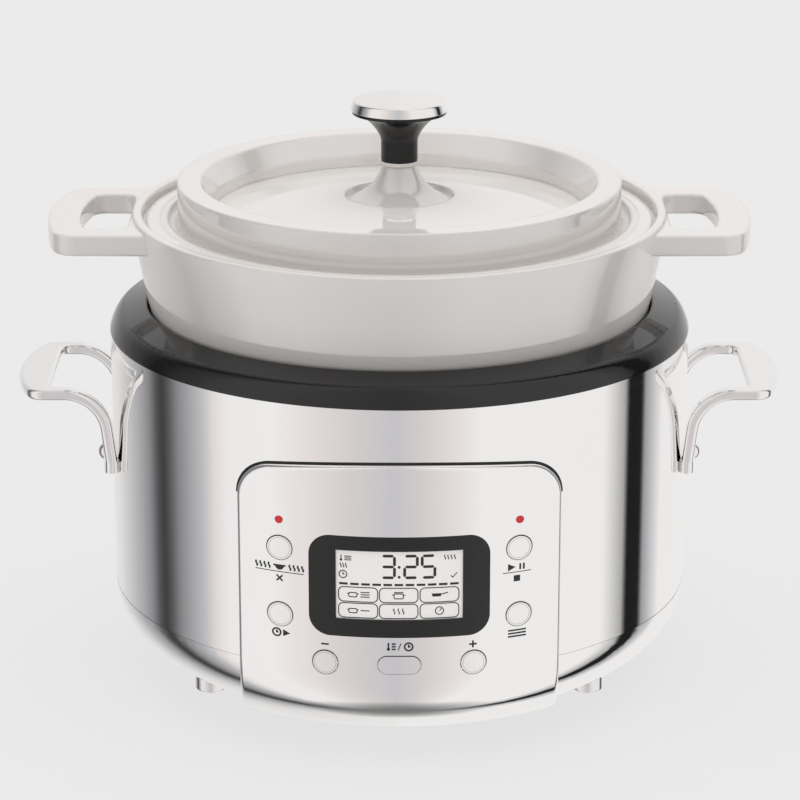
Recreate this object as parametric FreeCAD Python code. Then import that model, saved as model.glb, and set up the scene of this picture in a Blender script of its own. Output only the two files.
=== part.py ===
import FreeCAD, Part
import math
import os
from FreeCAD import Vector

# An electric dutch oven: a polished steel base with a curved control panel, a black rim ring,
# a lift-out enamelled pot with loop handles and a loose lid with a capped knob.
# Millimetres, +Z up, the panel faces -Y, and the origin is on the floor under the middle.

# Fits shared by many pieces
seat = 0.1                 # hair gap between curved faces that sit on each other
slide_gap = 0.4            # gap round each button in its hole
screw_slack = 0.3          # extra radius of a hole that a screw only passes through
tolerance = 0.01           # how near a point must lie to count as on a face

# Enamelled pot
pot_radius = 131.0
pot_wall = 5.0
pot_floor = 6.0
pot_height = 106.0
pot_corner = 14.0          # outside radius where the wall meets the floor
pot_sink = 57.8            # how far the pot's bottom sits below the top of the rim ring
rim_overhang = 7.65        # how far the pot's rim stands out from its wall
rim_band = 3.5             # height of the rim's upright edge
rim_land = 4.45            # width of the rim's top
rim_round = 0.15 * rim_land
flare_sink = 2.0           # how far below the rim ring's top the wall starts to lean out to the rim
ledge_depth = 6.5          # drop from the rim to the ledge that carries the lid
loop_reach = 43.95         # how far a pot handle stands out beyond the rim
loop_bow = 156.0           # radius of the handle's outer edge, seen from above
loop_half_length = 50.0
loop_thickness = 11.0
loop_below_rim = 2.2
loop_bar = 17.0            # width of the bar that the hand holds
loop_side = 14.0           # width of each side of the loop
loop_root = 1.0            # gap between the rim and the loop's hole
loop_corner = 13.0
loop_hole_corner = 7.0
loop_edge = 1.2

# Lid and knob
lid_gap = 2.4              # gap between the lid's edge and the rim's step
lid_flange = 2.7
lid_flange_width = 7.0
lid_ridge_rise = 0.8
lid_ridge_width = 4.2
lid_groove_width = 5.2     # groove between the ridge and the lid's raised ring
lid_groove_depth = 4.5
lid_lip_gap = 1.0          # gap between the lip under the lid and the pot's wall
lid_lip_depth = 5.0
lid_wall = 4.0
lid_edge_round = 1.0
lid_ring_height = 19.6     # from the flange's top to the ring's crest
lid_crest_width = 11.8
lid_crest_round = 0.8
lid_cone_run = 6.6         # how far the ring's inner side slopes in
lid_cone_drop = 11.5
lid_dome_foot = 2.2        # from the flange's top up to the foot of the dome
lid_dome_rise = 9.4
boss_recess_radius = 28.4
boss_recess_depth = 3.6
boss_recess_draft = 0.6
boss_radius = 27.3
boss_height = 19.4
boss_neck = 8.2
boss_sweep_in = 0.71       # shares of the boss's width and height that shape its sweep
boss_sweep_low = 0.34
boss_sweep_out = 0.27
boss_sweep_high = 0.46
collar_radius = 10.0
collar_height = 1.8
stem_radius = 9.6
stem_straight = 10.2
stem_height = 26.8
stem_top_radius = 24.5
stem_edge = 1.7            # height of the upright edge under the cap
stem_flare_low = 0.32      # shares of the flare's height and width that shape its curve
stem_flare_in = 0.55
stem_pin_radius = 16.0
stem_pin_height = 2.0
cap_radius = 25.5
cap_draft = 1.5            # how much narrower the cap is at its top edge
cap_band = 5.0
cap_crown = 0.6
cap_low_round = 0.9
cap_high_round = 2.2
knob_screw_radius = 2.5
knob_screw_grip = 16.0     # how far the screw reaches into the stem
knob_screw_head = 4.8
knob_screw_head_height = 3.0

# Steel body
jacket = 21.0              # from the pot's wall to the outside of the shell
shell_wall = 0.8
shell_height = 136.9
seam_gap = 0.3
foot_height = 10.0
pan_drop = 40.0            # height of the pan's rounded side
pan_run = 50.0             # how far the rounded side draws in
pan_wall = 2.0
pan_lip = 12.0             # flat lip round the opening under the pan
pan_collar = 8.0           # how far the pan reaches up inside the shell

# Rim ring and liner
pot_clearance = 1.0
ring_height = 14.1
ring_nose = 1.6
ring_crown = 3.5           # how far the ring's top falls towards its outer edge
ring_shoulder = 7.4
ring_shoulder_pull = 0.68  # shares of the shoulder's width and height that shape its curve
ring_skirt_pull = 0.04
ring_skirt = 0.6
ring_lip_wall = 3.5
ring_lip_drop = 3.0
liner_gap = 0.5
liner_wall = 0.8
liner_corner = 8.0
liner_screw_count = 4
liner_screw_angle = 45.0
liner_screw_radius = 1.75
liner_screw_head = 3.5
liner_screw_head_height = 1.75
liner_screw_grip = 7.0

# Heating plate, element and temperature sensor
plate_margin = 31.0        # how much smaller the plate is than the pot
plate_thickness = 10.0
post_height = 14.0
post_radius = 5.0
post_circle = 85.0
post_count = 3
post_angle = 60.0
post_screw_radius = 2.0
post_screw_head = 4.0
post_screw_head_height = 2.0
post_screw_grip = 6.0
element_circle = 68.0
element_radius = 4.0
element_end_gap = 20.0     # distance between the element's two ends
element_drop = 12.0        # height of the cold ends below the plate
terminal_radius = 1.5
terminal_length = 28.0
terminal_hole_slack = 3.0
cutout_radius = 8.0
cutout_height = 9.0
cutout_place = 44.0
cutout_blade_half = 2.0
cutout_blade_wall = 0.8
sensor_radius = 12.0
sensor_gap = 0.3           # between the sensor's top and the pot's floor
sensor_height = 17.0
sensor_wall = 0.8
sensor_flange = 2.5
sensor_flange_height = 1.5
sensor_play = 0.6
sensor_rise = 2.0          # free space above the flange inside the housing
housing_wall = 1.5
housing_base = 1.2
housing_foot = 5.0
spring_wire = 1.2
spring_turns = 6
spring_side_gap = 0.6
shield_drop = 18.0         # from the liner down to the heat shield
shield_radius = 120.0
shield_wall = 0.8
spacer_radius = 5.0
spacer_circle = 105.0
spacer_count = 3
tie_rod_radius = 2.5
tie_rod_angle = 45.0
tie_rod_count = 3

# Control panel, display and buttons; heights are above the floor
panel_half_width = 80.0
panel_proud = 4.4
panel_top = 159.4
panel_crown_radius = 535.0
panel_corner = 18.0
panel_bottom = 11.0
panel_round = 3.0
window_margin = 10.0       # from the panel's sides to the window cut through the shell
window_low = 45.0
window_high = 137.0
window_corner = 8.0
bezel_half_width = 44.6
bezel_low = 70.6
bezel_high = 123.2
bezel_corner = 10.5
bezel_proud = 0.2
bezel_flange = 2.5
bezel_flange_wall = 1.6
lcd_half_width = 31.2
lcd_low = 79.9
lcd_high = 115.7
lcd_recess = 0.7
lcd_frame = 4.0
lcd_frame_wall = 4.0
button_radius = 6.5        # of the hole in the panel
oblong_half_width = 11.0
oblong_half_height = 5.0
button_proud = 0.5
button_travel = 1.0
button_flange = 1.0
button_flange_wall = 1.6
button_flange_gap = 0.5
button_stem_radius = 2.0
side_button_x = 59.1
upper_button_z = 113.9
lower_button_z = 78.9
small_button_x = 36.7
bottom_button_z = 56.1
switch_radius = 3.2
switch_height = 4.0
switch_gap = 0.4           # left between stem and switch when a button is fully in
lamp_x = 59.3
lamp_z = 128.5
lamp_radius = 1.9
lamp_proud = 0.3
diode_radius = 2.4
diode_height = 3.0
board_clearance = 3.2      # from the liner to the back of the control board
board_wall = 1.6
board_half_width = 67.0
board_low = 47.0
board_high = 134.0
panel_boss_radius = 3.0
panel_boss_places = ((-59.1, 96.4), (59.1, 96.4), (-20.0, 52.5), (20.0, 52.5))
board_screw_radius = 1.2
board_screw_head = 2.4
board_screw_head_height = 1.4
board_screw_grip = 6.0
panel_screw_places = ((-40.0, 147.0), (40.0, 147.0), (-75.0, 84.0), (75.0, 84.0))
panel_screw_radius = 1.5
panel_screw_head = 2.6
panel_screw_head_height = 1.5
panel_screw_grip = 2.2

# Side handles
grip_reach = 48.5          # from the shell to the outer edge of the grip
grip_half_length = 45.0
grip_width = 19.0
grip_bow = 110.0           # radius of the grip's outer edge, seen from above
grip_corner = 9.0
grip_thickness = 5.8
grip_top = 162.8
grip_hole_corner = 5.0
grip_edge = 2.3
arm_width = 8.5
arm_bend = 21.5
arm_lean = 7.0             # degrees
arm_end_radius = 3.4       # of the round end under each arm
arm_end_height = 5.9
pad_wall = 5.2
pad_top = 123.0
pad_low = 108.0
pad_side_low = 117.5
handle_screw_z = 115.0
handle_screw_radius = 2.5
handle_head_radius = 4.9
handle_head_height = 3.4
handle_nut_radius = 5.0
handle_nut_height = 4.0

# Power inlet, power board and wiring
inlet_z = 75.0
inlet_half_width = 22.0
inlet_half_height = 14.5
inlet_body_half_width = 15.0
inlet_body_half_height = 11.0
inlet_depth = 24.0         # from the shell in to the back of the inlet
inlet_back_wall = 4.0
socket_half_width = 12.0
socket_half_height = 8.0
pin_width = 4.0
pin_wall = 2.0
pin_spacing = 7.0
pin_offset = 2.0
pin_tip_depth = 8.0        # from the socket's mouth to the tips of the pins
pin_tail = 8.0
cover_overlap = 9.0
cover_wall = 1.2
cover_screw_count = 4
cover_screw_radius = 1.75
cover_screw_head = 3.5
cover_screw_head_height = 2.0
vent_count = 7
vent_width = 3.0
vent_length = 25.0
vent_pitch = 8.0
vent_place = 62.0
standoff_height = 16.0
standoff_radius = 3.5
standoff_x = 39.0
standoff_y = 31.0
power_board_half_x = 45.0
power_board_half_y = 37.0
power_board_wall = 1.6
relay_size = (13.0, 29.0, 24.0)
relay_place = (-26.0, -12.0)
transformer_size = (30.0, 36.0, 28.0)
transformer_place = (12.0, -5.0)
terminal_block_size = (34.0, 12.0, 14.0)
terminal_block_place = (0.0, 27.0)
connector_size = (24.0, 6.0, 8.0)
ribbon_height = 62.0
ribbon_half_width = 10.0
ribbon_wall = 1.0
wire_radius = 1.4
wire_bend = 12.0
element_wire_level = 64.0
element_tab_x = 38.0
element_tab_height = 10.0
element_tab_radius = 2.6

# Feet
foot_radius = 8.5
foot_outset = 10.3         # from the edge of the pan's flat bottom to the middle of a foot
foot_angle = 27.6           # degrees from the X axis
foot_round = 1.0
pad_radius = 6.5
pad_proud = 0.5
pad_height = 1.5
foot_screw_radius = 2.0
foot_screw_head = 3.6
foot_screw_head_height = 2.4
foot_screw_seat = 5.0
foot_screw_grip = 5.0

# Levels and radii that follow from the sizes above
origin = Vector(0, 0, 0)
up = Vector(0, 0, 1)
along_x = Vector(1, 0, 0)
along_y = Vector(0, 1, 0)
bezier_quarter = 0.5523    # control length that turns a cubic curve into a quarter ellipse
shell_radius = pot_radius + jacket
shell_inside = shell_radius - shell_wall
seam_z = foot_height + pan_drop
shell_top = seam_z + shell_height
pan_floor_radius = shell_radius - pan_run
pan_opening = pan_floor_radius - pan_lip
ring_inside = pot_radius + pot_clearance
ring_top = shell_top + ring_height
liner_inside = ring_inside + ring_lip_wall + liner_gap
liner_outside = liner_inside + liner_wall
pot_base = ring_top - pot_sink
pot_rim = pot_base + pot_height
rim_radius = pot_radius + rim_overhang
ledge_radius = rim_radius - rim_land
ledge_z = pot_rim - ledge_depth
pot_inside = pot_radius - pot_wall
plate_bottom = pot_base - plate_thickness
plate_radius = pot_radius - plate_margin
well_floor = plate_bottom - post_height
well_under = well_floor - liner_wall
shield_z = well_under - shield_drop
panel_inside = shell_radius + seat
panel_face = panel_inside + panel_proud
board_back = liner_outside + board_clearance
board_front = board_back + board_wall
button_face = panel_face + button_proud
front_reach = button_face
cover_top = foot_height
cover_radius = pan_opening + cover_overlap
power_board_z = cover_top + standoff_height
power_board_top = power_board_z + power_board_wall
tall = pot_rim             # tall enough to cut through the whole base
far = 2 * shell_radius     # far enough out to clear the whole object
tie_rod_circle = pan_floor_radius - pan_lip / 2


def xz(point):
    return Vector(point[0], 0, point[1])


def profile(start, *steps):
    """Closed face in the XZ plane. A step is a point for a line, a pair (middle, end) for an
    arc, or a triple (control, control, end) for a smooth curve."""
    edges = []
    here = start
    for step in steps + (start,):
        if isinstance(step[0], tuple):
            end = step[-1]
            if len(step) == 2:
                curve = Part.Arc(xz(here), xz(step[0]), xz(end))
            else:
                curve = Part.BezierCurve()
                curve.setPoles([xz(point) for point in (here,) + step])
        else:
            end = step
            if end == here:
                continue
            curve = Part.LineSegment(xz(here), xz(end))
        edges.append(curve.toShape())
        here = end
    return Part.Face(Part.Wire(edges))


def turned(start, *steps):
    """Solid of revolution about the Z axis from points (radius, height)."""
    return profile(start, *steps).revolve(origin, up, 360)


def corner(centre, radius, angle):
    """Middle point of a corner arc, at an angle in degrees about the corner's centre."""
    turn = math.radians(angle)
    return (centre[0] + radius * math.cos(turn), centre[1] + radius * math.sin(turn))


def rounded_face(left, right, low, high, radius):
    """Rounded rectangle in the XZ plane."""
    inner_left = left + radius
    inner_right = right - radius
    inner_low = low + radius
    inner_high = high - radius
    return profile(
        (inner_left, low),
        (inner_right, low),
        (corner((inner_right, inner_low), radius, -45), (right, inner_low)),
        (right, inner_high),
        (corner((inner_right, inner_high), radius, 45), (inner_right, high)),
        (inner_left, high),
        (corner((inner_left, inner_high), radius, 135), (left, inner_high)),
        (left, inner_low),
        (corner((inner_left, inner_low), radius, 225), (inner_left, low)),
    )


def pill_face(x, z, half_width, half_height):
    """Circle, or an oblong with round ends where it is wider than high."""
    reach = half_width - half_height
    if reach <= 0:
        return Part.Face(Part.Wire(Part.makeCircle(half_height, Vector(x, 0, z), along_y)))
    return profile(
        (x - reach, z - half_height),
        (x + reach, z - half_height),
        ((x + half_width, z), (x + reach, z + half_height)),
        (x - reach, z + half_height),
        ((x - half_width, z), (x - reach, z - half_height)),
    )


def front_prism(face):
    """Bar of a face's outline, along Y through the whole front half of the object."""
    bar = face.copy()
    bar.translate(Vector(0, -far, 0))
    return bar.extrude(Vector(0, far, 0))


def tube(inner, outer, low, high):
    return disc(outer, low, high).cut(disc(inner, low, high))


def disc(radius, low, high, x=0.0, y=0.0):
    return Part.makeCylinder(radius, high - low, Vector(x, y, low))


def rod(radius, start, end):
    return Part.makeCylinder(radius, (end - start).Length, start, end - start)


def block(low, high):
    size = high - low
    return Part.makeBox(size.x, size.y, size.z, low)


def bent_plate(face, inner, outer):
    """Plate with a front outline, bent round the body's axis between two radii."""
    return front_prism(face).common(tube(inner, outer, 0, tall))


def fused(shapes):
    whole = shapes[0]
    for shape in shapes[1:]:
        whole = whole.fuse(shape)
    return whole.removeSplitter()


def cut_all(shape, tools):
    for tool in tools:
        shape = shape.cut(tool)
    return shape


def turned_copies(shape, count, first=0.0):
    """Copies of a shape, evenly spaced about the Z axis."""
    copies = []
    for index in range(count):
        copy = shape.copy()
        copy.rotate(origin, up, first + index * 360 / count)
        copies.append(copy)
    return copies


def mirrored(shape):
    """The same shape on the other side of the YZ plane."""
    return shape.mirror(origin, along_x)


def at_front(shape, x, radius):
    """Turn a shape made at the front (X = 0) round the axis until it stands at X = x."""
    copy = shape.copy()
    copy.rotate(origin, up, math.degrees(math.asin(x / radius)))
    return copy


def bent_path(points, bend):
    """Wire of straight runs joined by tangent arcs of one radius."""
    edges = []
    here = points[0]
    for index in range(1, len(points) - 1):
        point = points[index]
        back = (points[index - 1] - point).normalize()
        ahead = (points[index + 1] - point).normalize()
        half_turn = (math.pi - back.getAngle(ahead)) / 2
        reach = bend * math.tan(half_turn)
        start = point + back * reach
        end = point + ahead * reach
        bisector = (back + ahead).normalize()
        middle = point + bisector * (bend / math.cos(half_turn) - bend)
        edges.append(Part.LineSegment(here, start).toShape())
        edges.append(Part.Arc(start, middle, end).toShape())
        here = end
    edges.append(Part.LineSegment(here, points[-1]).toShape())
    return Part.Wire(edges)


def wire_tube(points):
    """Insulated wire along straight runs and round bends."""
    path = bent_path(points, wire_bend)
    heading = points[1] - points[0]
    section = Part.Wire(Part.makeCircle(wire_radius, points[0], heading))
    return path.makePipeShell([section], True, False)


def pan_side(offset):
    """Curve steps down the pan's rounded side, a distance outside its outer face."""
    run = pan_run + offset
    drop = pan_drop + offset
    return (
        (pan_floor_radius + run, seam_z - bezier_quarter * drop),
        (pan_floor_radius + bezier_quarter * run, seam_z - drop),
        (pan_floor_radius, seam_z - drop),
    )


def pan_side_up(offset):
    """The same curve, from the pan's floor up to the seam."""
    first, second, end = pan_side(offset)
    return (second, first, (shell_radius + offset, seam_z))


def pan_filled(offset):
    """Everything inside the pan's outer face, moved outwards by an offset."""
    return turned(
        (0, seam_z - pan_drop - offset),
        (pan_floor_radius, seam_z - pan_drop - offset),
        pan_side_up(offset),
        (0, seam_z),
    )


# Buttons as (x, z, half width, half height) of their holes
buttons = {
    "button_keep_warm": (-side_button_x, upper_button_z, button_radius, button_radius),
    "button_preset": (-side_button_x, lower_button_z, button_radius, button_radius),
    "button_start": (side_button_x, upper_button_z, button_radius, button_radius),
    "button_menu": (side_button_x, lower_button_z, button_radius, button_radius),
    "button_minus": (-small_button_x, bottom_button_z, button_radius, button_radius),
    "button_plus": (small_button_x, bottom_button_z, button_radius, button_radius),
    "button_temp_time": (0.0, bottom_button_z, oblong_half_width, oblong_half_height),
}


def button_hole(x, z, half_width, half_height):
    return front_prism(pill_face(x, z, half_width, half_height))


def switch_top(x):
    """Y of a push switch's top, on the control board behind X = x."""
    return -math.sqrt(board_front ** 2 - x ** 2) - switch_height


def make_button(x, z, half_width, half_height):
    """Cap through the panel, a flange behind it and a stem towards its switch."""
    cap_outline = pill_face(x, z, half_width - slide_gap, half_height - slide_gap)
    flange_outline = pill_face(x, z, half_width + button_flange, half_height + button_flange)
    flange_front = panel_inside - button_flange_gap
    flange_back = flange_front - button_flange_wall
    cap = bent_plate(cap_outline, flange_back, button_face)
    flange = bent_plate(flange_outline, flange_back, flange_front)
    stem_end = switch_top(x) - button_travel - switch_gap
    stem_start = -math.sqrt(flange_front ** 2 - x ** 2)
    stem = rod(button_stem_radius, Vector(x, stem_start, z), Vector(x, stem_end, z))
    stem = stem.common(disc(flange_front, 0, tall))
    return fused([cap, flange, stem])


def make_switches():
    bodies = []
    board = disc(board_front, 0, tall)
    for place in buttons.values():
        x, z = place[:2]
        bodies.append(rod(switch_radius, Vector(x, switch_top(x), z), Vector(x, 0, z)).cut(board))
    return bodies


def upward_screw(radius, head_radius, head_height, low, high):
    """Screw pointing up, with its head below the level low."""
    shank = disc(radius, low, high)
    return fused([shank, disc(head_radius, low - head_height, low)])


def moved(shape, x, y):
    copy = shape.copy()
    copy.translate(Vector(x, y, 0))
    return copy


def foot_places():
    reach = pan_floor_radius + foot_outset
    turn = math.radians(foot_angle)
    x = reach * math.cos(turn)
    y = reach * math.sin(turn)
    return {
        "front_left": (-x, -y),
        "front_right": (x, -y),
        "rear_left": (-x, y),
        "rear_right": (x, y),
    }


def window_prism():
    half = panel_half_width - window_margin
    return front_prism(rounded_face(-half, half, window_low, window_high, window_corner))


def radial_bar(x, z, radius, start, end):
    """Radial bar at the front, between two radii."""
    bar = rod(radius, Vector(0, -start, z), Vector(0, -end, z))
    return at_front(bar, x, shell_radius)


def handle_screw_hole(radius):
    bar = rod(radius, Vector(0, 0, handle_screw_z), Vector(far, 0, handle_screw_z))
    return [bar, mirrored(bar)]


def make_outer_shell():
    shell = tube(shell_inside, shell_radius, seam_z + seam_gap, shell_top)
    inlet_slot = block(
        Vector(-inlet_body_half_width - seat, 0, inlet_z - inlet_body_half_height - seat),
        Vector(inlet_body_half_width + seat, far, inlet_z + inlet_body_half_height + seat),
    )
    tools = [window_prism(), inlet_slot]
    tools += handle_screw_hole(handle_screw_radius + screw_slack)
    for x, z in panel_screw_places:
        tools.append(radial_bar(x, z, panel_screw_radius + screw_slack, 0, far))
    return cut_all(shell, tools)


def make_base_pan():
    collar_outside = shell_inside - seat
    collar_inside = shell_radius - pan_wall
    pan = turned(
        (shell_radius, seam_z),
        pan_side(0),
        (pan_opening, foot_height),
        (pan_opening, foot_height + pan_wall),
        (pan_floor_radius, foot_height + pan_wall),
        pan_side_up(-pan_wall),
        (collar_inside, seam_z + pan_collar),
        (collar_outside, seam_z + pan_collar),
        (collar_outside, seam_z),
    )
    tools = [window_prism()]
    for x, y in foot_places().values():
        tools.append(disc(foot_screw_radius, 0, seam_z, x, y))
    for screw in cover_screw_bars(cover_screw_radius):
        tools.append(screw)
    return cut_all(pan, tools)


def make_rim_ring():
    lip_outside = ring_inside + ring_lip_wall
    shoulder = shell_radius - ring_shoulder
    shoulder_z = ring_top - ring_crown
    nose = (ring_inside + ring_nose, ring_top - ring_nose)
    skirt_z = shell_top + ring_skirt
    ring = turned(
        (ring_inside, shell_top - ring_lip_drop),
        (ring_inside, ring_top - ring_nose),
        (corner(nose, ring_nose, 135), (ring_inside + ring_nose, ring_top)),
        (shoulder, shoulder_z),
        (
            (shoulder + ring_shoulder_pull * ring_shoulder, shoulder_z - ring_crown / 10),
            (shell_radius, skirt_z + ring_skirt_pull * (shoulder_z - skirt_z)),
            (shell_radius, skirt_z),
        ),
        (shell_radius, shell_top),
        (lip_outside, shell_top),
        (lip_outside, shell_top - ring_lip_drop),
    )
    return cut_all(ring, liner_screw_bars(liner_screw_radius))


def liner_screw_circle():
    return (liner_outside + shell_inside) / 2


def liner_screw_bars(radius):
    bar = disc(radius, shell_top - liner_wall, shell_top + liner_screw_grip, liner_screw_circle())
    return turned_copies(bar, liner_screw_count, liner_screw_angle)


def make_liner_screws():
    head_level = shell_top - liner_wall
    screw = upward_screw(
        liner_screw_radius, liner_screw_head, liner_screw_head_height, head_level,
        shell_top + liner_screw_grip,
    )
    return turned_copies(moved(screw, liner_screw_circle(), 0), liner_screw_count, liner_screw_angle)


def make_inner_liner():
    inner_corner = liner_corner - liner_wall
    outer_centre = (liner_outside - liner_corner, well_under + liner_corner)
    flange_radius = shell_inside - seat
    liner = turned(
        (0, well_under),
        (outer_centre[0], well_under),
        (corner(outer_centre, liner_corner, -45), (liner_outside, outer_centre[1])),
        (liner_outside, shell_top - liner_wall),
        (flange_radius, shell_top - liner_wall),
        (flange_radius, shell_top),
        (liner_inside, shell_top),
        (liner_inside, outer_centre[1]),
        (corner(outer_centre, inner_corner, -45), (outer_centre[0], well_floor)),
        (0, well_floor),
    )
    tools = liner_screw_bars(liner_screw_radius + screw_slack)
    tools += turned_copies(post_screw_bar(post_screw_radius + screw_slack), post_count, post_angle)
    tools += terminal_bars(element_radius + terminal_hole_slack)
    return cut_all(liner, tools)


def post_screw_bar(radius):
    return disc(radius, well_under, plate_bottom + post_screw_grip, post_circle)


def terminal_places():
    half = element_end_gap / 2
    x = math.sqrt(element_circle ** 2 - half ** 2)
    return ((x, -half), (x, half))


def terminal_bars(radius):
    return [disc(radius, 0, plate_bottom, x, y) for x, y in terminal_places()]


def make_heating_element():
    """Tube bent to an open ring, with cold ends and pins pointing down."""
    half = math.degrees(math.asin(element_end_gap / 2 / element_circle))
    middle = Vector(0, 0, plate_bottom)
    ring = Part.makeTorus(element_circle, element_radius, middle, up, 0, 360, 360 - 2 * half)
    ring.rotate(origin, up, half)
    pieces = [ring]
    for x, y in terminal_places():
        pieces.append(Part.makeSphere(element_radius, Vector(x, y, plate_bottom)))
        pieces.append(disc(element_radius, plate_bottom - element_drop, plate_bottom, x, y))
        pin_low = plate_bottom - element_drop - terminal_length
        pieces.append(disc(terminal_radius, pin_low, plate_bottom - element_drop, x, y))
    return fused(pieces)


def make_heating_plate(element):
    plate = tube(sensor_housing_outside() + sensor_play, plate_radius, plate_bottom, pot_base)
    screws = turned_copies(post_screw_bar(post_screw_radius), post_count, post_angle)
    return cut_all(plate, [element] + screws)


def make_plate_posts():
    post = disc(post_radius, well_floor, plate_bottom, post_circle).cut(post_screw_bar(post_screw_radius))
    return turned_copies(post, post_count, post_angle)


def make_plate_screws():
    screw = upward_screw(
        post_screw_radius, post_screw_head, post_screw_head_height, well_under,
        plate_bottom + post_screw_grip,
    )
    return turned_copies(moved(screw, post_circle, 0), post_count, post_angle)


def make_thermal_cutout():
    body = disc(cutout_radius, plate_bottom - cutout_height, plate_bottom, -cutout_place)
    blade_top = plate_bottom - cutout_height
    blades = []
    for side in (-1, 1):
        y = side * cutout_radius / 2
        size = Vector(2 * cutout_blade_half, cutout_blade_wall, cutout_blade_half)
        high = Vector(cutout_blade_half - cutout_place, y + cutout_blade_wall / 2, blade_top)
        blades.append(block(high - size, high))
    return fused([body] + blades)


def sensor_top():
    return pot_base - sensor_gap


def sensor_flange_radius():
    return sensor_radius + sensor_flange


def sensor_housing_inside():
    return sensor_flange_radius() + sensor_play


def sensor_housing_outside():
    return sensor_housing_inside() + housing_wall


def make_sensor_plunger():
    """Cup that a spring presses up against the pot's floor."""
    top = sensor_top()
    low = top - sensor_height
    inside = sensor_radius - sensor_wall
    return turned(
        (0, top),
        (sensor_radius, top),
        (sensor_radius, low + sensor_flange_height),
        (sensor_flange_radius(), low + sensor_flange_height),
        (sensor_flange_radius(), low),
        (inside, low),
        (inside, top - sensor_wall),
        (0, top - sensor_wall),
    )


def make_sensor_housing():
    """Cup on the well's floor, whose lip keeps the plunger in."""
    base_top = well_floor + housing_base
    foot = sensor_housing_outside() + housing_foot
    lip_under = sensor_top() - sensor_height + sensor_flange_height + sensor_rise
    lip_top = lip_under + housing_wall
    return turned(
        (0, well_floor),
        (foot, well_floor),
        (foot, base_top),
        (sensor_housing_outside(), base_top),
        (sensor_housing_outside(), lip_top),
        (sensor_radius + sensor_play, lip_top),
        (sensor_radius + sensor_play, lip_under),
        (sensor_housing_inside(), lip_under),
        (sensor_housing_inside(), base_top),
        (0, base_top),
    )


def make_sensor_spring():
    """Helical spring inside the plunger, as quarter-turn arcs."""
    half_wire = spring_wire / 2
    radius = sensor_radius - sensor_wall - spring_side_gap - half_wire
    low = well_floor + housing_base + half_wire + seat
    high = sensor_top() - sensor_wall - half_wire - seat
    quarters = 4 * spring_turns
    step = (high - low) / quarters

    def coil_point(quarter):
        turn = quarter * math.pi / 2
        return Vector(radius * math.cos(turn), radius * math.sin(turn), low + quarter * step)

    edges = []
    for quarter in range(quarters):
        points = [coil_point(quarter + share) for share in (0, 0.5, 1)]
        edges.append(Part.Arc(*points).toShape())
    heading = coil_point(tolerance) - coil_point(0)
    section = Part.Wire(Part.makeCircle(half_wire, coil_point(0), heading))
    return Part.Wire(edges).makePipeShell([section], True, False)


def make_heat_shield():
    shield = disc(shield_radius, shield_z, shield_z + shield_wall)
    tools = terminal_bars(element_radius + terminal_hole_slack)
    tools += tie_rod_bars(tie_rod_radius + screw_slack)
    return cut_all(shield, tools)


def make_shield_spacers():
    spacer = disc(spacer_radius, shield_z + shield_wall, well_under, spacer_circle)
    return turned_copies(spacer, spacer_count)


def tie_rod_bars(radius):
    bar = disc(radius, foot_height + pan_wall, well_under, tie_rod_circle)
    return turned_copies(bar, tie_rod_count, tie_rod_angle)


def panel_outline():
    """Front outline of the panel: square at the bottom, round corners and a crowned top."""
    half = panel_half_width
    crown_z = panel_top - panel_crown_radius
    corner_x = half - panel_corner
    reach = panel_crown_radius - panel_corner
    corner_z = crown_z + math.sqrt(reach ** 2 - corner_x ** 2)
    join_x = corner_x * panel_crown_radius / reach
    join_z = crown_z + (corner_z - crown_z) * panel_crown_radius / reach
    return profile(
        (-half, 0),
        (half, 0),
        (half, corner_z),
        (corner((corner_x, corner_z), panel_corner, 45), (join_x, join_z)),
        ((0, panel_top), (-join_x, join_z)),
        (corner((-corner_x, corner_z), panel_corner, 135), (-half, corner_z)),
    )


def make_control_panel():
    """Bent plate over shell and pan, with a rounded edge, holes and bosses for the board."""
    skin = turned(
        (panel_inside, tall),
        (panel_inside, seam_z),
        pan_side(seat),
        (pan_floor_radius, seam_z - pan_drop - seat - panel_proud),
        pan_side_up(seat + panel_proud),
        (panel_face, tall),
    )
    room = front_prism(panel_outline()).cut(disc(far, 0, panel_bottom))
    panel = skin.common(room)
    panel = panel.makeFillet(panel_round, panel_rim_edges(panel))
    for x, z in panel_boss_places:
        panel = panel.fuse(radial_bar(x, z, panel_boss_radius, board_front, panel_inside + seat))
    tools = [button_hole(*place) for place in buttons.values()]
    tools.append(bezel_prism(seat))
    for side in (-1, 1):
        tools.append(front_prism(pill_face(side * lamp_x, lamp_z, lamp_radius + seat, lamp_radius + seat)))
    for x, z in panel_boss_places:
        tools.append(radial_bar(x, z, board_screw_radius, board_front, board_front + board_screw_grip))
    for x, z in panel_screw_places:
        tools.append(radial_bar(x, z, panel_screw_radius, 0, panel_inside + panel_screw_grip))
    return cut_all(panel, tools)


def panel_rim_edges(panel):
    """Edges where the panel's outer face meets its sides and top."""
    rim = []
    for edge in panel.Edges:
        on_face = True
        for share in (0.1, 0.5, 0.9):
            first, last = edge.ParameterRange
            point = edge.valueAt(first + share * (last - first))
            distance = math.hypot(point.x, point.y)
            above_seam = point.z >= seam_z
            if above_seam and abs(distance - panel_face) > tolerance:
                on_face = False
            if not above_seam and not on_pan_face(distance, point.z):
                on_face = False
            at_seam = abs(point.z - seam_z) < tolerance
            if at_seam or abs(point.z - panel_bottom) < tolerance:
                on_face = False
        if on_face:
            rim.append(edge)
    return rim


def on_pan_face(distance, z):
    """True where a point lies on the panel's outer face below the seam."""
    run = pan_run + seat + panel_proud
    drop = pan_drop + seat + panel_proud
    share = ((distance - pan_floor_radius) / run) ** 2 + ((seam_z - z) / drop) ** 2
    return abs(share - 1) < tolerance


def bezel_prism(margin):
    return front_prism(bezel_outline(margin))


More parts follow.
